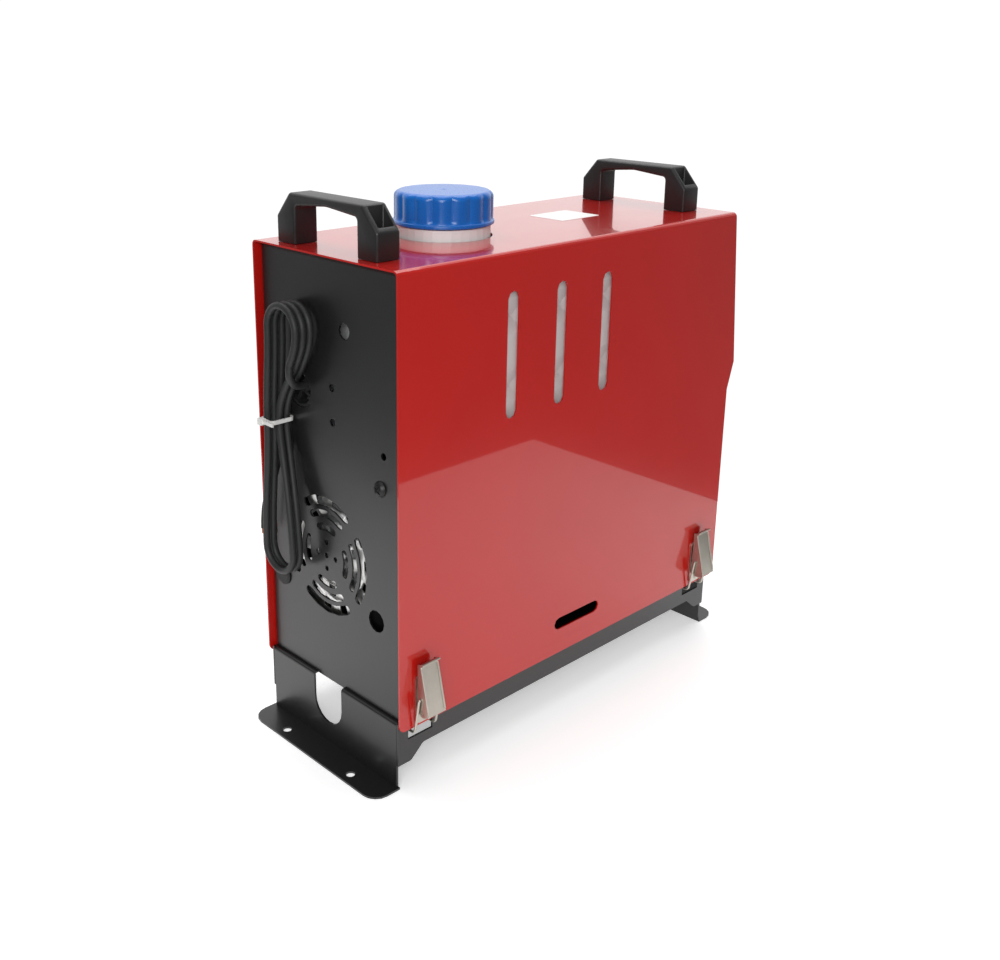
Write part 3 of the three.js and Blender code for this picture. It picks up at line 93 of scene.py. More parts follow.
def makeMesh(name, points, faces, material, smooth=True):
    mesh = bpy.data.meshes.new(name)
    mesh.from_pydata(points.reshape(-1, 3).tolist(), [], [list(map(int, face)) for face in faces])
    mesh.polygons.foreach_set("use_smooth", np.full(len(mesh.polygons), smooth))
    mesh.update()
    piece = bpy.data.objects.new(name, mesh)
    bpy.context.scene.collection.objects.link(piece)
    piece.data.materials.append(material)
    return piece


def fixNormals(piece):
    # merges doubled points and turns every face outwards
    work = bmesh.new()
    work.from_mesh(piece.data)
    bmesh.ops.remove_doubles(work, verts=work.verts, dist=samePoint)
    bmesh.ops.recalc_face_normals(work, faces=work.faces)
    work.to_mesh(piece.data)
    work.free()


def shell(name, rings, material, smooth=True):
    # closed skin over a stack of rings (rows, sides, 3), each end closed by one flat face
    rows, sides, _ = rings.shape
    faces = [*gridFaces(rows, sides), np.arange(sides)[::-1], (rows - 1) * sides + np.arange(sides)]
    piece = makeMesh(name, rings, faces, material, smooth)
    fixNormals(piece)
    return piece


def stacked(outline, levels, axis):
    # rings for shell: the same closed outline of pairs at each level along an axis
    outline = np.asarray(outline, float)
    return np.stack([np.insert(outline, axis, level, axis=1) for level in levels])


def alongPath(path, radius, sides, lean=(0.6, 0.8, 0.0)):
    # rings of a round section carried along a path: centre + r (cos a * n + sin a * b),
    # where n is a fixed leaning vector made square to the path and b is square to both
    path = np.asarray(path, float)
    ahead = np.gradient(path, axis=0)
    ahead /= np.linalg.norm(ahead, axis=1, keepdims=True)
    n = np.asarray(lean) - (ahead @ np.asarray(lean))[:, None] * ahead
    n /= np.linalg.norm(n, axis=1, keepdims=True)
    b = np.cross(ahead, n)
    a = np.linspace(0, 2 * np.pi, sides, endpoint=False)
    around = np.cos(a)[None, :, None] * n[:, None] + np.sin(a)[None, :, None] * b[:, None]
    return path[:, None] + np.broadcast_to(radius, len(path))[:, None, None] * around


def smoothPath(points, steps=12):
    # Catmull-Rom curve through the points, then spaced evenly
    p = np.asarray(points, float)
    p = np.vstack([2 * p[0] - p[1], p, 2 * p[-1] - p[-2]])
    t = np.linspace(0, 1, steps, endpoint=False)[None, :, None]
    a, b, c, d = (p[i:len(p) - 3 + i, None] for i in range(4))
    curve = 0.5 * (2 * b + (c - a) * t + (2 * a - 5 * b + 4 * c - d) * t ** 2
                   + (3 * b - a - 3 * c + d) * t ** 3)
    return evenly(np.vstack([curve.reshape(-1, 3), p[-2]]))


def evenly(path, spacing=None):
    # the same path with its points an even distance apart, or as many as before
    run = np.r_[0, np.cumsum(np.linalg.norm(np.diff(path, axis=0), axis=1))]
    count = int(round(run[-1] / spacing)) + 1 if spacing else len(path)
    at = np.linspace(0, run[-1], count)
    return np.stack([np.interp(at, run, path[:, k]) for k in range(3)], axis=1)


def pathLength(path):
    return float(np.linalg.norm(np.diff(path, axis=0), axis=1).sum())


# shader wiring: values are written as Python expressions

class Wire:
    # one output socket; arithmetic on it adds Math nodes
    def __init__(self, finish, socket):
        self.finish, self.socket = finish, socket

    def math(self, operation, *others):
        made = self.finish.node("ShaderNodeMath", {"operation": operation},
                                dict(enumerate((self, *others))))
        return Wire(self.finish, made.outputs[0])

    def __add__(self, other):
        return self.math("ADD", other)

    def __radd__(self, other):
        return self + other

    def __mul__(self, other):
        return self.math("MULTIPLY", other)

    def __rmul__(self, other):
        return self * other

    def step(self, low, high):
        # 0 below low, 1 above high, smooth between
        settings = {"interpolation_type": "SMOOTHSTEP", "clamp": True}
        made = self.finish.node("ShaderNodeMapRange", settings,
                                {"Value": self, "From Min": low, "From Max": high})
        return Wire(self.finish, made.outputs[0])


class Finish:
    # one material, wired node by node from Object coordinates
    def __init__(self, name):
        self.material = bpy.data.materials.new(name)
        self.material.use_nodes = True
        self.tree = self.material.node_tree
        self.tree.nodes.clear()
        self.spot = Wire(self, self.node("ShaderNodeTexCoord").outputs["Object"])

    def node(self, kind, settings=None, sockets=None):
        made = self.tree.nodes.new(kind)
        for key, value in (settings or {}).items():
            setattr(made, key, value)
        for key, value in (sockets or {}).items():
            if isinstance(value, Wire):
                self.tree.links.new(value.socket, made.inputs[key])
            else:
                made.inputs[key].default_value = value
        return made

    def stretched(self, scale):
        made = self.node("ShaderNodeMapping", None, {"Vector": self.spot, "Scale": scale})
        return Wire(self, made.outputs[0])

    def noise(self, scale, detail=3.0, rough=0.5, spot=None):
        made = self.node("ShaderNodeTexNoise", None, {
            "Vector": spot or self.spot, "Scale": scale, "Detail": detail, "Roughness": rough})
        return Wire(self, made.outputs[0])

    def mix(self, share, low, high):
        # colour mix: sockets 0, 6 and 7 are the factor and the two colours
        made = self.node("ShaderNodeMix", {"data_type": "RGBA"}, {0: share, 6: low, 7: high})
        return Wire(self, made.outputs[2])

    def bump(self, height, distance, strength):
        made = self.node("ShaderNodeBump", None, {
            "Height": height, "Distance": distance, "Strength": strength})
        return Wire(self, made.outputs[0])

    def surface(self, **sockets):
        # sockets by name, spaces written as underscores
        named = {key.replace("_", " "): value for key, value in sockets.items()}
        shader = self.node("ShaderNodeBsdfPrincipled", None, named)
        end = self.node("ShaderNodeOutputMaterial")
        self.tree.links.new(shader.outputs[0], end.inputs["Surface"])
        return self.material


def tone(red, green, blue):
    # sRGB 0-255 to linear
    share = np.array([red, green, blue]) / 255
    linear = np.where(share > 0.04045, ((share + 0.055) / 1.055) ** 2.4, share / 12.92)
    return (*linear.tolist(), 1.0)


def redPaint():
    # gloss enamel: faint orange peel under a clear coat, with a little haze
    f = Finish("redPaint")
    cloud = f.noise(9, 2)
    peel = f.noise(420, 1)
    haze = f.noise(28, 5, 0.6)
    colour = f.mix(cloud, tone(186, 20, 14), tone(198, 26, 18))
    return f.surface(Base_Color=colour, Roughness=0.2 + 0.1 * haze, Coat_Weight=1.0, Coat_Roughness=0.03,
                     Coat_IOR=1.45, Specular_IOR_Level=0.15, Normal=f.bump(peel, 0.00003, 0.35))


def blackPaint():
    # fine powder coat: two sizes of grain, dust a little lighter
    f = Finish("blackPaint")
    grain = f.noise(1500, 2, 0.6)
    peel = f.noise(520, 1)
    dust = f.noise(60, 6, 0.7).step(0.62, 0.8)
    colour = f.mix(0.25 * dust, tone(24, 24, 25), tone(52, 53, 54))
    height = 0.4 * grain + peel
    return f.surface(Base_Color=colour, Roughness=0.3 + 0.12 * grain, Specular_IOR_Level=0.5,
                     Coat_Weight=0.25, Coat_Roughness=0.18, Normal=f.bump(height, 0.00006, 0.4))


def mouldedPlastic(name, dark, light, rough):
    # finely textured moulding, its colour a little cloudy
    f = Finish(name)
    grain = f.noise(900, 2, 0.55)
    cloud = f.noise(22, 3)
    return f.surface(Base_Color=f.mix(cloud, dark, light), Roughness=rough + 0.14 * grain,
                     Normal=f.bump(grain, 0.00006, 0.5))


def tankPlastic():
    # milky polyethylene, with faint flow lines down the wall
    f = Finish("tankPlastic")
    flow = f.noise(14, 4, 0.6, f.stretched((1, 1, 0.25)))
    grain = f.noise(700, 2)
    return f.surface(Base_Color=f.mix(flow, tone(230, 233, 232), tone(247, 248, 247)),
                     Roughness=0.36 + 0.12 * grain, Normal=f.bump(grain, 0.00005, 0.4),
                     Subsurface_Weight=0.1, Subsurface_Radius=(0.003, 0.003, 0.003))


def bluePlastic():
    # glossy moulding that light enters a little
    f = Finish("bluePlastic")
    cloud = f.noise(45, 3)
    grain = f.noise(820, 2)
    return f.surface(Base_Color=f.mix(cloud, tone(0, 94, 186), tone(6, 116, 210)),
                     Roughness=0.24 + 0.1 * grain, Normal=f.bump(grain, 0.00004, 0.35),
                     Subsurface_Weight=0.12, Subsurface_Radius=(0.001, 0.002, 0.004),
                     Coat_Weight=0.25, Coat_Roughness=0.12)


def platedSteel(name, streak, dark, light, rough):
    # plated metal: streaks drawn out along the axis of the smallest scale, and a cloudy tint
    f = Finish(name)
    line = f.noise(4, 4, 0.6, f.stretched(streak))
    cloud = f.noise(70, 4, 0.6)
    fine = f.noise(1100, 2)
    return f.surface(Base_Color=f.mix(0.6 * cloud + 0.4 * line, dark, light), Metallic=1.0,
                     Roughness=rough + 0.12 * line + 0.08 * cloud,
                     Normal=f.bump(line + 0.3 * fine, 0.00004, 0.5))


def castMetal():
    # as-cast aluminium
    f = Finish("castMetal")
    grain = f.noise(650, 3, 0.6)
    cloud = f.noise(40, 4)
    return f.surface(Base_Color=f.mix(cloud, tone(150, 152, 154), tone(186, 188, 189)), Metallic=1.0,
                     Roughness=0.42 + 0.18 * grain, Normal=f.bump(grain, 0.00012, 0.6))


def rubber(name, dark, light, rough=0.55, ripple=700):
    # matt, with a fine ripple
    f = Finish(name)
    cloud = f.noise(35, 4, 0.6)
    fine = f.noise(ripple, 3, 0.6)
    return f.surface(Base_Color=f.mix(cloud, dark, light), Roughness=rough + 0.16 * fine,
                     Normal=f.bump(fine, 0.00005, 0.5))


def smokedGlass():
    f = Finish("smokedGlass")
    smear = f.noise(30, 5, 0.6)
    return f.surface(Base_Color=f.mix(smear, tone(9, 13, 15), tone(15, 20, 23)),
                     Roughness=0.05 + 0.05 * smear, Coat_Weight=1.0, Coat_Roughness=0.02)


def labelPaper():
    f = Finish("labelPaper")
    fibre = f.noise(900, 4, 0.6)
    return f.surface(Base_Color=f.mix(fibre, tone(232, 232, 230), tone(246, 246, 244)),
                     Roughness=0.4 + 0.1 * fibre, Normal=f.bump(fibre, 0.00003, 0.4))


paint = {
    "red": redPaint(),
    "black": blackPaint(),
    "handle": mouldedPlastic("handlePlastic", tone(30, 30, 31), tone(38, 38, 39), 0.34),
    "housing": mouldedPlastic("housingPlastic", tone(24, 24, 25), tone(34, 34, 35), 0.42),
    "blue": bluePlastic(),
    "tank": tankPlastic(),
    "nylon": mouldedPlastic("whiteNylon", tone(222, 222, 219), tone(240, 240, 238), 0.3),
    "grey": mouldedPlastic("greyPlastic", tone(214, 216, 216), tone(234, 235, 235), 0.3),
    "steel": platedSteel("platedSteel", (240, 240, 16), tone(172, 166, 154), tone(208, 204, 194), 0.26),
    "screw": platedSteel("screwSteel", (400, 400, 400), tone(46, 46, 47), tone(74, 74, 74), 0.34),
    "cast": castMetal(),
    "rubber": rubber("softRubber", tone(24, 24, 24), tone(36, 36, 36)),
    "sheath": rubber("leadSheath", tone(30, 31, 31), tone(44, 45, 45), 0.46, 1100),
    "redSheath": rubber("redSheath", tone(176, 18, 40), tone(196, 30, 52), 0.36, 1100),
    "copper": platedSteel("tinnedCopper", (1500, 1500, 60), tone(176, 120, 84), tone(206, 150, 110), 0.3),
    "bright": platedSteel("brightPlate", (60, 60, 60), tone(222, 222, 220), tone(246, 246, 244), 0.24),
    "glass": smokedGlass(),
    "label": labelPaper(),
}
print("finishes made:", len(paint))

# the finish of each node that stays; latches are steel, buttons grey and the rest moulded housing
finishOf = {
    "cover": "red",
    "inlet_panel": "black", "outlet_panel": "black", "tank_shelf": "black", "heater_stand": "black",
    "tray": "black", "tray_rail_front": "black", "tray_rail_rear": "black",
    "handle_left": "handle", "handle_right": "handle",
    "heater_upper_casing": "housing", "heater_lower_casing": "housing", "control_unit": "housing",
    "outlet_collar": "housing", "control_bezel": "housing",
    "fuel_tank": "tank", "filler_cap": "blue", "cap_seal": "rubber",
    "fuel_filter": "nylon", "lead_bushing": "handle", "cable_tie": "nylon", "blower_wheel": "grey",
    "heat_exchanger": "cast", "burner_head": "cast", "blower_motor": "cast", "combustion_fan": "cast",
    "burner_tube": "steel", "glow_plug": "steel", "motor_shaft": "steel", "fuel_pump": "steel",
    "panel_screw_rear": "screw", "panel_screw_front": "screw",
    "panel_plug": "rubber", "mounting_gasket": "rubber", "pump_mount": "rubber",
    "suction_hose": "rubber", "pump_hose": "rubber", "delivery_hose": "rubber",
    "display_lens": "glass",
    "power_lead_exit": "sheath", "power_lead_hank": "sheath", "power_lead_tail": "sheath",
    "black_wire": "sheath", "red_wire": "redSheath",
}
for name, node in nodes.items():
    family = "steel" if name.startswith("latch") else "grey" if name.startswith("button") else "housing"
    node.data.materials.clear()
    node.data.materials.append(paint[finishOf.get(name, family)])
print("finishes on", len(nodes), "nodes")


# power lead: the route of the part's source, in metres
lead = {
    "diameter": 0.0052,
    "spacing": 0.0012,
    "sides": 14,
    "exit": [(-0.164, 0.026, 0.2665), (-0.1695, 0.026, 0.2665), (-0.1746, 0.026, 0.2665),
             (-0.1799, 0.025, 0.2675), (-0.1843, 0.0237, 0.2703), (-0.1874, 0.0226, 0.2749),
             (-0.1886, 0.0219, 0.2799), (-0.1886, 0.02095, 0.2847)],
    "tail": [(-0.177, 0.04915, 0.2277), (-0.177, 0.0501, 0.2215), (-0.1771, 0.0528, 0.211),
             (-0.1772, 0.056, 0.202), (-0.1774, 0.0594, 0.193)],
    "layers": (-0.1886, -0.1828, -0.177),   # X of each loop, the outermost first
    "fold": 0.0156,                         # radius of the folds
    "waistHalf": 0.00285,
    "heights": (0.1452, 0.24, 0.3076),      # bottom fold centre, waist, top fold centre
    "middles": (0.040, 0.046, 0.029),       # Y of the hank's middle line there
    "climb": (0.150, 0.225),                # where a loop steps to the next layer
    "start": 0.285,                         # heights where the hank begins and ends
    "end": 0.228,
    "points": (60, 25),                     # along each run and round each fold
}


def ease(share):
    # half a cosine wave, from 0 to 1
    return (1 - np.cos(np.pi * np.clip(share, 0, 1))) / 2


def hankRun(lead, z, side, layer):
    # one run: Y = middle(z) + side * half(z), both eased from the waist to the folds;
    # the front run of each later loop starts in the layer before and climbs to its own
    low, waist, high = lead["heights"]
    share = np.where(z > waist, ease((z - waist) / (high - waist)), ease((waist - z) / (waist - low)))
    far = np.where(z > waist, lead["middles"][2], lead["middles"][0])
    middle = lead["middles"][1] + share * (far - lead["middles"][1])
    half = lead["waistHalf"] + share * (lead["fold"] - lead["waistHalf"])
    pitch = lead["layers"][1] - lead["layers"][0]
    start, end = lead["climb"]
    climb = (1 - ease((z - start) / (end - start))) if side < 0 and layer > 0 else 0 * z
    return np.stack([lead["layers"][layer] - climb * pitch, middle + side * half, z], axis=1)


def hankFold(lead, layer, top):
    # half a circle from one run to the other
    count = lead["points"][1]
    a = np.linspace(np.pi, 0, count) if top else np.linspace(0, -np.pi, count)
    y, z = (lead["middles"][2], lead["heights"][2]) if top else (lead["middles"][0], lead["heights"][0])
    return np.stack([np.full(a.size, lead["layers"][layer]), y + lead["fold"] * np.cos(a),
                     z + lead["fold"] * np.sin(a)], axis=1)


def hankPath(lead):
    low, _, high = lead["heights"]
    last = len(lead["layers"]) - 1
    count = lead["points"][0]
    parts = []
    for layer in range(last + 1):
        rising = np.linspace(lead["start"] if layer == 0 else low, high, count)
        falling = np.linspace(high, lead["end"] if layer == last else low, count)
        parts.append(hankRun(lead, rising, -1, layer))
        parts.append(hankFold(lead, layer, True))
        parts.append(hankRun(lead, falling, 1, layer))
        if layer < last:
            parts.append(hankFold(lead, layer, False))
    return np.vstack(parts)


def roundedEnds(radius, count, spacing, reach=0.35, least=0.35):
    # radius along a tube of count rings: radius * sqrt(1 - (1 - s) ^ 2) near each end, where s is the way
    # from the end as a share of reach * radius, and the root is taken of no less than least
    way = np.minimum(np.arange(count), np.arange(count)[::-1]) * spacing / (reach * radius)
    return radius * np.sqrt(np.clip(1 - (1 - np.clip(way, 0, 1)) ** 2, least, 1))


def makeLead(lead):
    whole = np.vstack([smoothPath(lead["exit"]), hankPath(lead), smoothPath(lead["tail"])])
    moved = np.linalg.norm(np.diff(whole, axis=0), axis=1) > samePoint
    path = evenly(whole[np.r_[True, moved]], lead["spacing"])
    radius = roundedEnds(lead["diameter"] / 2, len(path), lead["spacing"])
    piece = shell("powerLead", alongPath(path, radius, lead["sides"]), paint["sheath"])
    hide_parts("power_lead_exit", "power_lead_hank", "power_lead_tail")
    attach(piece, "case")
    return piece, path


# the lead's two wires, stripped at their ends
wireBuild = {
    "diameter": 0.0024,
    "spacing": 0.0006,
    "sides": 12,
    "bare": 0.0045,               # stripped length
    "core": 0.31,                 # radius of the twisted strands, as a share of the diameter
    "strands": 7,
    "swell": 0.14,                # of each strand, as a share of that radius
    "twist": 2.2,                 # radians over the bare end
    "overlap": 2,                 # rings of the core that lie inside the sheath
}
wires = {
    "redWire": {
        "node": "red_wire", "finish": "redSheath", "slot": "red_sheath",
        "route": [(-0.1774, 0.0581, 0.1924), (-0.1776, 0.059, 0.1898), (-0.1782, 0.0603, 0.184),
                  (-0.1786, 0.0608, 0.176), (-0.1786, 0.0602, 0.166), (-0.1785, 0.059, 0.157),
                  (-0.1785, 0.0575, 0.150)],
    },
    "blackWire": {
        "node": "black_wire", "finish": "sheath", "slot": "lead_sheath",
        "route": [(-0.1774, 0.0609, 0.1932), (-0.1777, 0.0619, 0.1905), (-0.1788, 0.064, 0.1845),
                  (-0.180, 0.0666, 0.177), (-0.1809, 0.0692, 0.168), (-0.1811, 0.0708, 0.158),
                  (-0.1811, 0.0714, 0.151), (-0.1811, 0.0715, 0.1452)],
    },
}


def makeWire(name, wire, build):
    # insulated wire whose last millimetres are stripped to the twisted strands
    path = evenly(smoothPath(wire["route"]), build["spacing"])
    covered = path[:len(path) - int(build["bare"] / build["spacing"])]
    skin = shell(name, alongPath(covered, build["diameter"] / 2, build["sides"]), paint[wire["finish"]])
    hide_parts(wire["node"])
    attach(skin, "case")
    # radius = core * (1 + swell * cos(strands * (a + turn))), with the turn growing along the wire
    core = path[len(covered) - build["overlap"]:]
    sides = 3 * build["strands"]
    a = np.linspace(0, 2 * np.pi, sides, endpoint=False)
    turn = np.linspace(0, build["twist"], len(core))
    rings = alongPath(core, build["diameter"] * build["core"], sides)
    swell = 1 + build["swell"] * np.cos(build["strands"] * (a[None, :] + turn[:, None]))
    rings = core[:, None] + (rings - core[:, None]) * swell[..., None]
    strands = shell(name + "Strands", rings, paint["copper"])
    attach(strands, "case")
    return skin, strands, covered


leadPiece, leadPath = makeLead(lead)
for name, wire in wires.items():
    skin, strands, covered = makeWire(name, wire, wireBuild)
print("cords laid: lead", round(pathLength(leadPath), 3), "m and", len(wires), "wires")


# filler cap: a smooth fluted skin over the CAD cap, closed round its bore
cap = {
    "centre": (-0.066, 0.004),
    "bottom": 0.3685,
    "top": 0.391,
    "radius": 0.0346,
    "lobes": 16,
    "depth": 0.0017,              # of the flutes
    "scoop": (0.75, 0.004),       # their exponent, and the rounding of the ridges between them
    "rise": (0.0022, 0.7),        # height over which they start above the flange, and exponent
    "fall": (0.25, 0.8),          # share of the depth left at the top of the crown, and exponent
    "fade": (0.6, 0.9),           # shares of the radius between which they reach into the top
    "flange": (0.0355, 0.0026, 0.0006),   # radius, height and rounding
    "groove": (0.0001, 0.0002),   # small step between flange and skirt, out and up
    "crown": 0.0042,
    "dish": 0.0001,               # rise of the top towards its middle
    "bore": 0.0302,
    "ceiling": 0.3862,
    "tip": 0.0004,                # radius of the closed middle
    "rings": (16, 12),            # up the skirt and over the top
    "sides": 768,
}


def rounded(corner, radius, start, count):
    # quarter circle about a corner's centre, as (radius, height) pairs, from angle start anticlockwise
    a = np.radians(start) + np.linspace(0, np.pi / 2, count)
    return np.column_stack([corner[0] + radius * np.cos(a), corner[1] + radius * np.sin(a)])


def makeCap(cap):
    flange, lip, edge = cap["flange"]
    top, bottom, skirt, crown, bore = (cap[key] for key in ("top", "bottom", "radius", "crown", "bore"))
    shelf = bottom + lip
    wall = np.linspace(shelf + 2 * edge, top - crown, cap["rings"][0])[:, None]
    way = np.linspace(0.97, 0.02, cap["rings"][1])[:, None]   # from the crown to the middle
    # profile of (radius, height): flange, skirt, crown, top, then back inside along the bore
    profile = np.vstack([
        (bore, bottom), (flange - edge, bottom),
        rounded((flange - edge, bottom + edge), edge, -90, 5)[1:],
        rounded((flange - edge, shelf - edge), edge, 0, 5),
        (skirt + cap["groove"][0], shelf + cap["groove"][1]), (skirt, shelf + edge),
        np.hstack([np.full(wall.shape, skirt), wall]),
        rounded((skirt - crown, top - crown), crown, 0, 13)[1:],
        np.hstack([way * (skirt - crown), top + cap["dish"] * (1 - way)]),
        (cap["tip"], cap["ceiling"]), (bore, cap["ceiling"]), (bore, bottom)])
    r, z = profile.T
    a = np.linspace(0, 2 * np.pi, cap["sides"], endpoint=False)
    # radius = r - depth * share * (1 - ridge ^ exponent), where ridge is |cos(lobes * a / 2)| with its
    # zero rounded off, and share rises above the flange, falls over the crown and fades into the top
    exponent, soft = cap["scoop"]
    ridge = np.sqrt(np.cos(cap["lobes"] * a / 2) ** 2 + soft) / math.sqrt(1 + soft)
    rise = np.clip((z - shelf) / cap["rise"][0], 0, 1) ** cap["rise"][1]
    left, bend = cap["fall"]
    fall = left + (1 - left) * np.clip((top - z) / crown, 0, 1) ** bend
    start, full = cap["fade"]
    fade = np.clip((r / skirt - start) / (full - start), 0, 1)
    share = np.where(r > bore + samePoint, rise * fall * fade, 0)
    radius = r[:, None] - cap["depth"] * share[:, None] * (1 - ridge ** exponent)[None, :]
    x, y = cap["centre"]
    height = np.broadcast_to(z[:, None], radius.shape)
    rings = np.stack([x + radius * np.cos(a), y + radius * np.sin(a), height], axis=2)[:-1]
    piece = makeMesh("fillerCap", rings, gridFaces(len(rings), a.size, closedRows=True), paint["blue"])
    fixNormals(piece)
    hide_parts("filler_cap")
    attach(piece, "cap")


makeCap(cap)
print("cap made")


# thread on the filler neck: one ridge climbing under the cap
thread = {
    "radius": 0.0293,
    "wire": 0.0006,               # radius of the ridge
    "low": 0.3705,
    "high": 0.3815,
    "turns": 2.5,
    "pointsPerTurn": 72,
    "sides": 10,
}


def makeThread(thread, centre):
    # helix: centre + radius (cos a, sin a), with the height growing evenly
    a = np.linspace(0, 2 * np.pi * thread["turns"], int(thread["pointsPerTurn"] * thread["turns"]))
    z = np.linspace(thread["low"], thread["high"], a.size)
    x, y = centre
    path = np.stack([x + thread["radius"] * np.cos(a), y + thread["radius"] * np.sin(a), z], axis=1)
    rings = alongPath(path, thread["wire"], thread["sides"], lean=(0.0, 0.0, 1.0))
    piece = shell("neckThread", rings, paint["tank"])
    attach(piece, "case")


makeThread(thread, cap["centre"])
print("neck thread made")


# draw latches: the bail is one bent wire, hooked under the rail's catch
bail = {
    "wire": 0.002,
    "spacing": 0.0004,
    "sides": 14,
    # corners from the lever's side to the hook: x from the middle, y inwards from the case's side,
    # height, and how much of the straight the bend takes
    "side": [(0.0072, -0.006, 0.0693, 0), (0.0094, -0.006, 0.0693, 0.0011),
             (0.0094, -0.0019, 0.0448, 0.0014), (0.0094, 0.0002, 0.0426, 0.0014),
             (0.0094, 0.008, 0.0426, 0.0009), (0.0094, 0.008, 0.0446, 0.0009)],
    # the case's side at each latch, and which way is inwards
    "places": {"front_left": (-0.156, -0.075, 1), "front_right": (0.156, -0.075, 1),
               "rear_left": (-0.156, 0.075, -1), "rear_right": (0.156, 0.075, -1)},
}


def bentLine(corners, steps=8):
    # straight runs joined by curves (1-t)^2 a + 2t(1-t) p + t^2 b, trimmed by each corner's own length
    line = [corners[0][:3]]
    t = np.linspace(0, 1, steps)[:, None]
    for before, here, after in zip(corners, corners[1:], corners[2:]):
        a, p, b = (np.array(point[:3]) for point in (before, here, after))
        a = p + (a - p) / np.linalg.norm(a - p) * here[3]
        b = p + (b - p) / np.linalg.norm(b - p) * here[3]
        line.append((1 - t) ** 2 * a + 2 * t * (1 - t) * p + t ** 2 * b)
    return np.vstack([*line, corners[-1][:3]])


def makeBails(bail):
    side = bail["side"]
    other = [(-x, y, z, trim) for x, y, z, trim in reversed(side)]
    local = evenly(bentLine([*side, *other]), bail["spacing"])
    for place, (x, y, inward) in bail["places"].items():
        path = np.stack([x + inward * local[:, 0], y + inward * local[:, 1], local[:, 2]], axis=1)
        radius = roundedEnds(bail["wire"] / 2, len(path), bail["spacing"])
        piece = shell("bail_" + place, alongPath(path, radius, bail["sides"]), paint["steel"])
        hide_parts("latch_bail_" + place)
        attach(piece, "bail_" + place)


makeBails(bail)
print("bails made")


# the lever's pressed borders: a bead down each long side of its outer face, in one piece over the top
bead = {
    "reach": 0.0073,              # to each side of the lever's middle
    "low": (0.0134, 0.0602),      # out from the case's side, and height
    "high": (0.0055, 0.0936),
    "bend": 0.002,
    "radius": 0.0007,
    "spacing": 0.0005,
    "sides": 10,
}


def makeBeads(bead):
    reach, bend = bead["reach"], bead["bend"]
    corners = [(-reach, *bead["low"], 0), (-reach, *bead["high"], bend), (reach, *bead["high"], bend),
               (reach, *bead["low"], 0)]
    local = evenly(bentLine(corners), bead["spacing"])
    radius = roundedEnds(bead["radius"], len(local), bead["spacing"])
    for place, (x, y, inward) in bail["places"].items():
        path = np.stack([x + inward * local[:, 0], y - inward * local[:, 1], local[:, 2]], axis=1)
        rings = alongPath(path, radius, bead["sides"], lean=(0.0, 1.0, 0.05))
        piece = shell("leverBead_" + place, rings, paint["steel"])
        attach(piece, "lever_" + place)


makeBeads(bead)
print("lever borders made")


# handles: whole legs with a screw pocket at each end, every edge rounded
handle = {
    "middle": 0.005,              # Y of the grip's middle
    "half": 0.052,
    "foot": 0.3603,
    "top": 0.394,
    "shoulder": 0.014,
    "drop": 0.016,                # from the top to where the slope starts
    "leg": 0.020,
    "grip": 0.0055,
    "round": 0.003,
    "arch": 0.030,                # radius under the middle of the grip
    "edge": 0.0022,               # rounding of the long edges
    "edgeRings": 6,
    "soften": 0.0004,             # bevel round the pockets
    "pocket": (0.0130, 0.0025, 0.0130),   # width, and from the end to its near and far side
    "pocketFloor": 0.3653,
    "pocketCorner": 0.001,
    "spans": {"handle_left": (-0.1695, -0.150), "handle_right": (0.145, 0.1645)},
}


# screws: a domed head with a cross recess, its axis along a given direction
panelScrew = {"head": 0.0055, "dome": 0.0032, "shank": 0.003, "depth": 0.008, "facing": (-1, 0, 0)}
handleScrew = {"head": 0.0042, "dome": 0.0026, "facing": (0, 0, 1)}
screwShape = {
    "rings": [*np.linspace(0.02, 0.72, 18), 0.8, 0.87, 0.93, 0.97, 0.995, 1.0],   # closer at the rim
    "sides": 96,
    "bulge": 3.2,
    "arm": 0.17,                  # the cross: half width, length and slopes as shares of the head
    "reach": 0.62,
    "slopes": (0.05, 0.12),
    "sunk": 0.5,                  # its depth as a share of the dome
}
screws = {
    "screw_rear": {**panelScrew, "node": "panel_screw_rear", "at": (-0.1728, 0.0655, 0.2176)},
    "screw_front": {**panelScrew, "node": "panel_screw_front", "at": (-0.1728, -0.0515, 0.214)},
}
for name, span in handle["spans"].items():
    fromMiddle = handle["half"] - sum(handle["pocket"][1:]) / 2
    for side, end in (("front", -1), ("rear", 1)):
        at = (sum(span) / 2, handle["middle"] + end * fromMiddle, handle["pocketFloor"])
        screws[name.replace("handle", "handleScrew") + "_" + side] = {**handleScrew, "at": at}


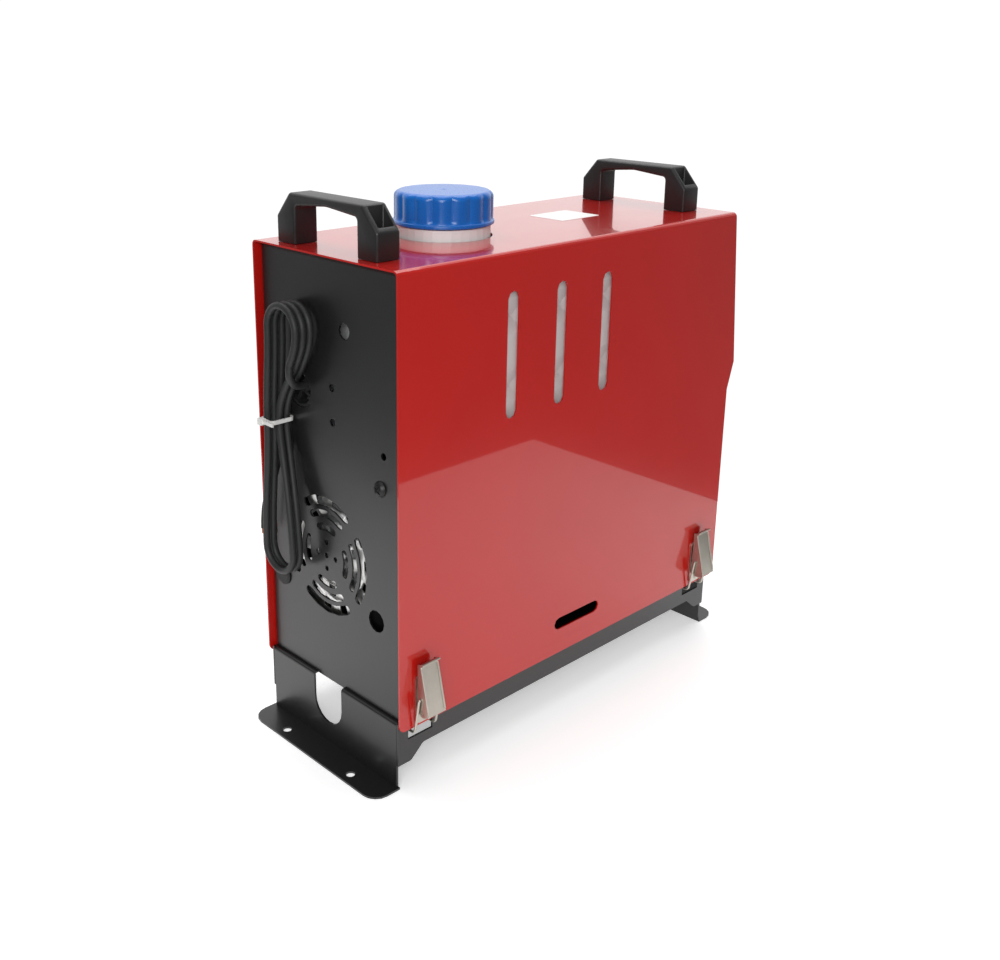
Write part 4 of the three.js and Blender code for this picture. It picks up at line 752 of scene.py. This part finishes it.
def makeScrew(name, screw, shape, turn):
    head, dome = screw["head"], screw["dome"]
    share = np.array(shape["rings"])
    r = share * head
    a = np.linspace(0, 2 * np.pi, shape["sides"], endpoint=False)
    # height = dome * (1 - (r / head) ^ bulge), less sunk * dome within the cross, whose edges slope
    height = np.broadcast_to((dome * (1 - share ** shape["bulge"]))[:, None], (r.size, a.size)).copy()
    across, along = np.sort(np.abs(np.stack([r[:, None] * np.cos(a), r[:, None] * np.sin(a)])), axis=0)
    width = np.clip((shape["arm"] * head - across) / (shape["slopes"][0] * head), 0, 1)
    reach = np.clip((shape["reach"] * head - along) / (shape["slopes"][1] * head), 0, 1)
    height -= shape["sunk"] * dome * width * reach
    below = [(head, 0.0)]
    if "shank" in screw:
        below += [(screw["shank"], 0.0), (screw["shank"], -screw["depth"])]
    radius = np.r_[r, [pair[0] for pair in below]]
    level = np.vstack([height, *[np.full((1, a.size), pair[1]) for pair in below]])
    local = np.stack([radius[:, None] * np.cos(a + turn), radius[:, None] * np.sin(a + turn), level], axis=2)
    basis = np.array(Vector(screw["facing"]).to_track_quat("Z", "Y").to_matrix())
    rings = local @ basis.T + np.array(screw["at"])
    piece = shell(name, rings, paint["screw"])
    if "node" in screw:
        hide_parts(screw["node"])
    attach(piece, "case")


firstTurn, nextTurn = 0.5, 0.37   # each screw is left at another angle
for k, (name, screw) in enumerate(screws.items()):
    makeScrew(name, screw, screwShape, firstTurn + nextTurn * k)
print("screws made:", len(screws))


def filletedLine(corners, steps=8):
    # closed outline of (a, b, radius) corners; an arc is centre + cos t * start + sin t * start turned
    # a quarter, in that many steps
    line = []
    for before, here, after in zip([corners[-1], *corners], corners, [*corners[1:], corners[0]]):
        p = np.array(here[:2])
        back, on = np.array(before[:2]) - p, np.array(after[:2]) - p
        back, on = back / np.linalg.norm(back), on / np.linalg.norm(on)
        if here[2] == 0:
            line.append(p)
            continue
        half = math.acos(np.clip(back @ on, -1, 1)) / 2
        centre = p + (back + on) / np.linalg.norm(back + on) * here[2] / math.sin(half)
        start = p + back * here[2] / math.tan(half) - centre
        end = p + on * here[2] / math.tan(half) - centre
        sweep = math.atan2(start[0] * end[1] - start[1] * end[0], start @ end)
        t = np.linspace(0, sweep, steps)[:, None]
        line.append(centre + np.cos(t) * start + np.sin(t) * np.array([-start[1], start[0]]))
    return np.vstack(line)


def insetLine(line, amount):
    # closed clockwise outline moved inwards: each point along the sum of its sides' normals
    ahead = np.roll(line, -1, axis=0) - line
    ahead /= np.linalg.norm(ahead, axis=1, keepdims=True)
    normal = np.stack([ahead[:, 1], -ahead[:, 0]], axis=1)
    both = normal + np.roll(normal, 1, axis=0)
    both /= (both * normal).sum(axis=1, keepdims=True)
    return line + amount * both


def roundedBox(name, x, y, z, corner, material):
    # upright block with rounded corners, between heights z
    (x0, x1), (y0, y1) = x, y
    centres = [(x1 - corner, y1 - corner), (x0 + corner, y1 - corner),
               (x0 + corner, y0 + corner), (x1 - corner, y0 + corner)]
    outline = np.vstack([rounded(centre, corner, 90 * k, 6) for k, centre in enumerate(centres)])
    return shell(name, stacked(outline, z, 2), material, smooth=False)


def carve(piece, cutters, softening, bevelAngle=40, sharpAngle=35):
    # cuts the cutters out, softens edges past an angle and keeps the result as the piece's own mesh
    for cutter in cutters:
        cut = piece.modifiers.new("cut", "BOOLEAN")
        cut.operation = "DIFFERENCE"
        cut.solver = "EXACT"
        cut.object = cutter
    soften = piece.modifiers.new("soften", "BEVEL")
    soften.width = softening
    soften.segments = 2
    soften.limit_method = "ANGLE"
    soften.angle_limit = math.radians(bevelAngle)
    bpy.context.view_layer.update()
    seen = piece.evaluated_get(bpy.context.evaluated_depsgraph_get())
    mesh = bpy.data.meshes.new_from_object(seen)
    piece.modifiers.clear()
    piece.data = mesh
    for cutter in cutters:
        bpy.data.objects.remove(cutter)
    mesh.polygons.foreach_set("use_smooth", np.full(len(mesh.polygons), True))
    mesh.set_sharp_from_angle(angle=math.radians(sharpAngle))


def makeHandle(name, span, handle):
    half, foot, top, bend = handle["half"], handle["foot"], handle["top"], handle["round"]
    low, under, inner = top - handle["drop"], top - handle["grip"], half - handle["leg"]
    corners = [
        (-half, foot, 0), (-half, low, bend), (-half + handle["shoulder"], top, bend),
        (half - handle["shoulder"], top, bend), (half, low, bend), (half, foot, 0),
        (inner, foot, 0), (inner, under - bend, bend), (0, under, handle["arch"]),
        (-inner, under - bend, bend), (-inner, foot, 0)]
    line = filletedLine([(handle["middle"] + y, z, radius) for y, z, radius in corners])
    # edge of radius e: x = e (1 - cos t) from the side, outline moved in by e (1 - sin t)
    t = np.linspace(0, np.pi / 2, handle["edgeRings"])
    edge = handle["edge"]
    into = edge * (1 - np.cos(t))
    places = [*(span[0] + into), *(span[1] - into[::-1])]
    insets = [*(edge * (1 - np.sin(t))), *(edge * (1 - np.sin(t[::-1])))]
    onCover = line[:, 1] < foot + samePoint     # these points stay at the foot's level
    rings = []
    for x, inset in zip(places, insets):
        ring = insetLine(line, inset)
        ring[:, 1] = np.where(onCover, foot, ring[:, 1])
        rings.append(np.column_stack([np.full(len(ring), x), ring]))
    piece = shell(name + "Grip", np.array(rings), paint["handle"])
    width, near, far = handle["pocket"]
    x = (sum(span) / 2 - width / 2, sum(span) / 2 + width / 2)
    z = (handle["pocketFloor"], top + handle["edge"])
    pockets = []
    for end in (-1, 1):
        y = sorted(handle["middle"] + end * (half - reach) for reach in (near, far))
        pockets.append(roundedBox("pocket", x, y, z, handle["pocketCorner"], paint["handle"]))
    carve(piece, pockets, handle["soften"])
    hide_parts(name)
    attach(piece, "case")


for name, span in handle["spans"].items():
    makeHandle(name, span, handle)
print("handles made")


# bright pierced plate over the heater's air intake, close behind the grille
intake = {
    "centre": (0.007, 0.147),
    "x": (-0.1682, -0.1672),
    "radius": 0.049,
    "sides": 96,
    "rings": ((0.012, 0.020, 6), (0.024, 0.032, 10), (0.036, 0.044, 14)),   # from, to, windows
    "open": 0.42,                 # share of each window's pitch
    "turned": 0.3,                # of a pitch, from each ring of windows to the next
    "clear": 0.001,               # how far the cutters stand proud
    "soften": 0.0001,
}


def ringWindow(intake, near, far, start, end, levels, steps=7):
    # cutter between two radii and two angles
    t = np.linspace(start, end, steps)
    outline = np.vstack([
        far * np.column_stack([np.cos(t), np.sin(t)]),
        near * np.column_stack([np.cos(t[::-1]), np.sin(t[::-1])])])
    rings = stacked(outline + intake["centre"], levels, 0)
    return shell("window", rings, paint["bright"], smooth=False)


def makeIntake(intake):
    t = np.linspace(0, 2 * np.pi, intake["sides"], endpoint=False)
    disc = intake["radius"] * np.column_stack([np.cos(t), np.sin(t)]) + intake["centre"]
    piece = shell("intakePlate", stacked(disc, intake["x"], 0), paint["bright"], smooth=False)
    through = (intake["x"][0] - intake["clear"], intake["x"][1] + intake["clear"])
    windows = []
    for k, (near, far, count) in enumerate(intake["rings"]):
        pitch = 2 * math.pi / count
        for i in range(count):
            start = (i + intake["turned"] * k) * pitch
            end = start + intake["open"] * pitch
            windows.append(ringWindow(intake, near, far, start, end, through))
    carve(piece, windows, intake["soften"])
    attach(piece, "case")


makeIntake(intake)
print("intake plate made")


# bare label stuck on the cover's top
label = {
    "x": (0.041, 0.084),
    "y": (-0.013, 0.022),
    "z": (0.36001, 0.36017),
    "corner": 0.002,
}


labelPiece = roundedBox("blankLabel", label["x"], label["y"], label["z"], label["corner"], paint["label"])
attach(labelPiece, "case")
print("label made")


# pale table top, soft lights, and surroundings that are white behind the object and grey in front
stage = {
    "x": (-0.52, 0.42),
    "y": (-0.5, 0.55),
    "glow": 0.4,
    "behind": (0.676, 0.729, 0.1),   # the direction in which the surroundings are white
    "from": 0.15,                 # dot product with it where the white starts
    "to": 0.6,                    # and where it is full
    "grey": 0.22,
    "white": 1.05,
}


def makeFloor(stage):
    f = Finish("tablePaper")
    grain = f.noise(240, 3)
    material = f.surface(Base_Color=f.mix(grain, tone(245, 245, 245), tone(250, 250, 250)), Roughness=0.9,
                         Emission_Color=(1, 1, 1, 1), Emission_Strength=stage["glow"])
    (x0, x1), (y0, y1) = stage["x"], stage["y"]
    corners = np.array([(x0, y0, 0), (x1, y0, 0), (x1, y1, 0), (x0, y1, 0)])
    makeMesh("floor", corners, [(0, 1, 2, 3)], material, smooth=False)


def makeWorld(stage):
    # strength goes smoothly from grey to white with the direction's dot product with behind
    world = bpy.data.worlds.new("surroundings")
    world.use_nodes = True
    tree = world.node_tree
    place = tree.nodes.new("ShaderNodeTexCoord")
    turn = tree.nodes.new("ShaderNodeVectorMath")
    turn.operation = "DOT_PRODUCT"
    turn.inputs[1].default_value = stage["behind"]
    tree.links.new(place.outputs["Generated"], turn.inputs[0])
    level = tree.nodes.new("ShaderNodeMapRange")
    level.interpolation_type = "SMOOTHSTEP"
    for socket, key in (("From Min", "from"), ("From Max", "to"), ("To Min", "grey"), ("To Max", "white")):
        level.inputs[socket].default_value = stage[key]
    tree.links.new(turn.outputs["Value"], level.inputs["Value"])
    back = tree.nodes["Background"]
    back.inputs["Color"].default_value = (1, 1, 1, 1)
    tree.links.new(level.outputs[0], back.inputs["Strength"])
    bpy.context.scene.world = world


lights = {
    "topLight": {"place": (0.1, 0.2, 1.5), "size": (1.4, 1.4), "watts": 12},
    "fillLight": {"place": (-1.15, -0.95, 0.8), "size": (0.8, 0.8), "watts": 12},
}


def makeLight(name, light, aim):
    data = bpy.data.lights.new(name, "AREA")
    data.shape = "RECTANGLE"
    data.size, data.size_y = light["size"]
    data.energy = light["watts"]
    lamp = bpy.data.objects.new(name, data)
    lamp.location = light["place"]
    lamp.rotation_euler = (Vector(aim) - lamp.location).to_track_quat("-Z", "Y").to_euler()
    bpy.context.scene.collection.objects.link(lamp)


objectMiddle = (0, 0, 0.18)
makeFloor(stage)
makeWorld(stage)
for name, light in lights.items():
    makeLight(name, light, objectMiddle)
bpy.context.scene.view_settings.view_transform = "Standard"
print("floor and lights set")
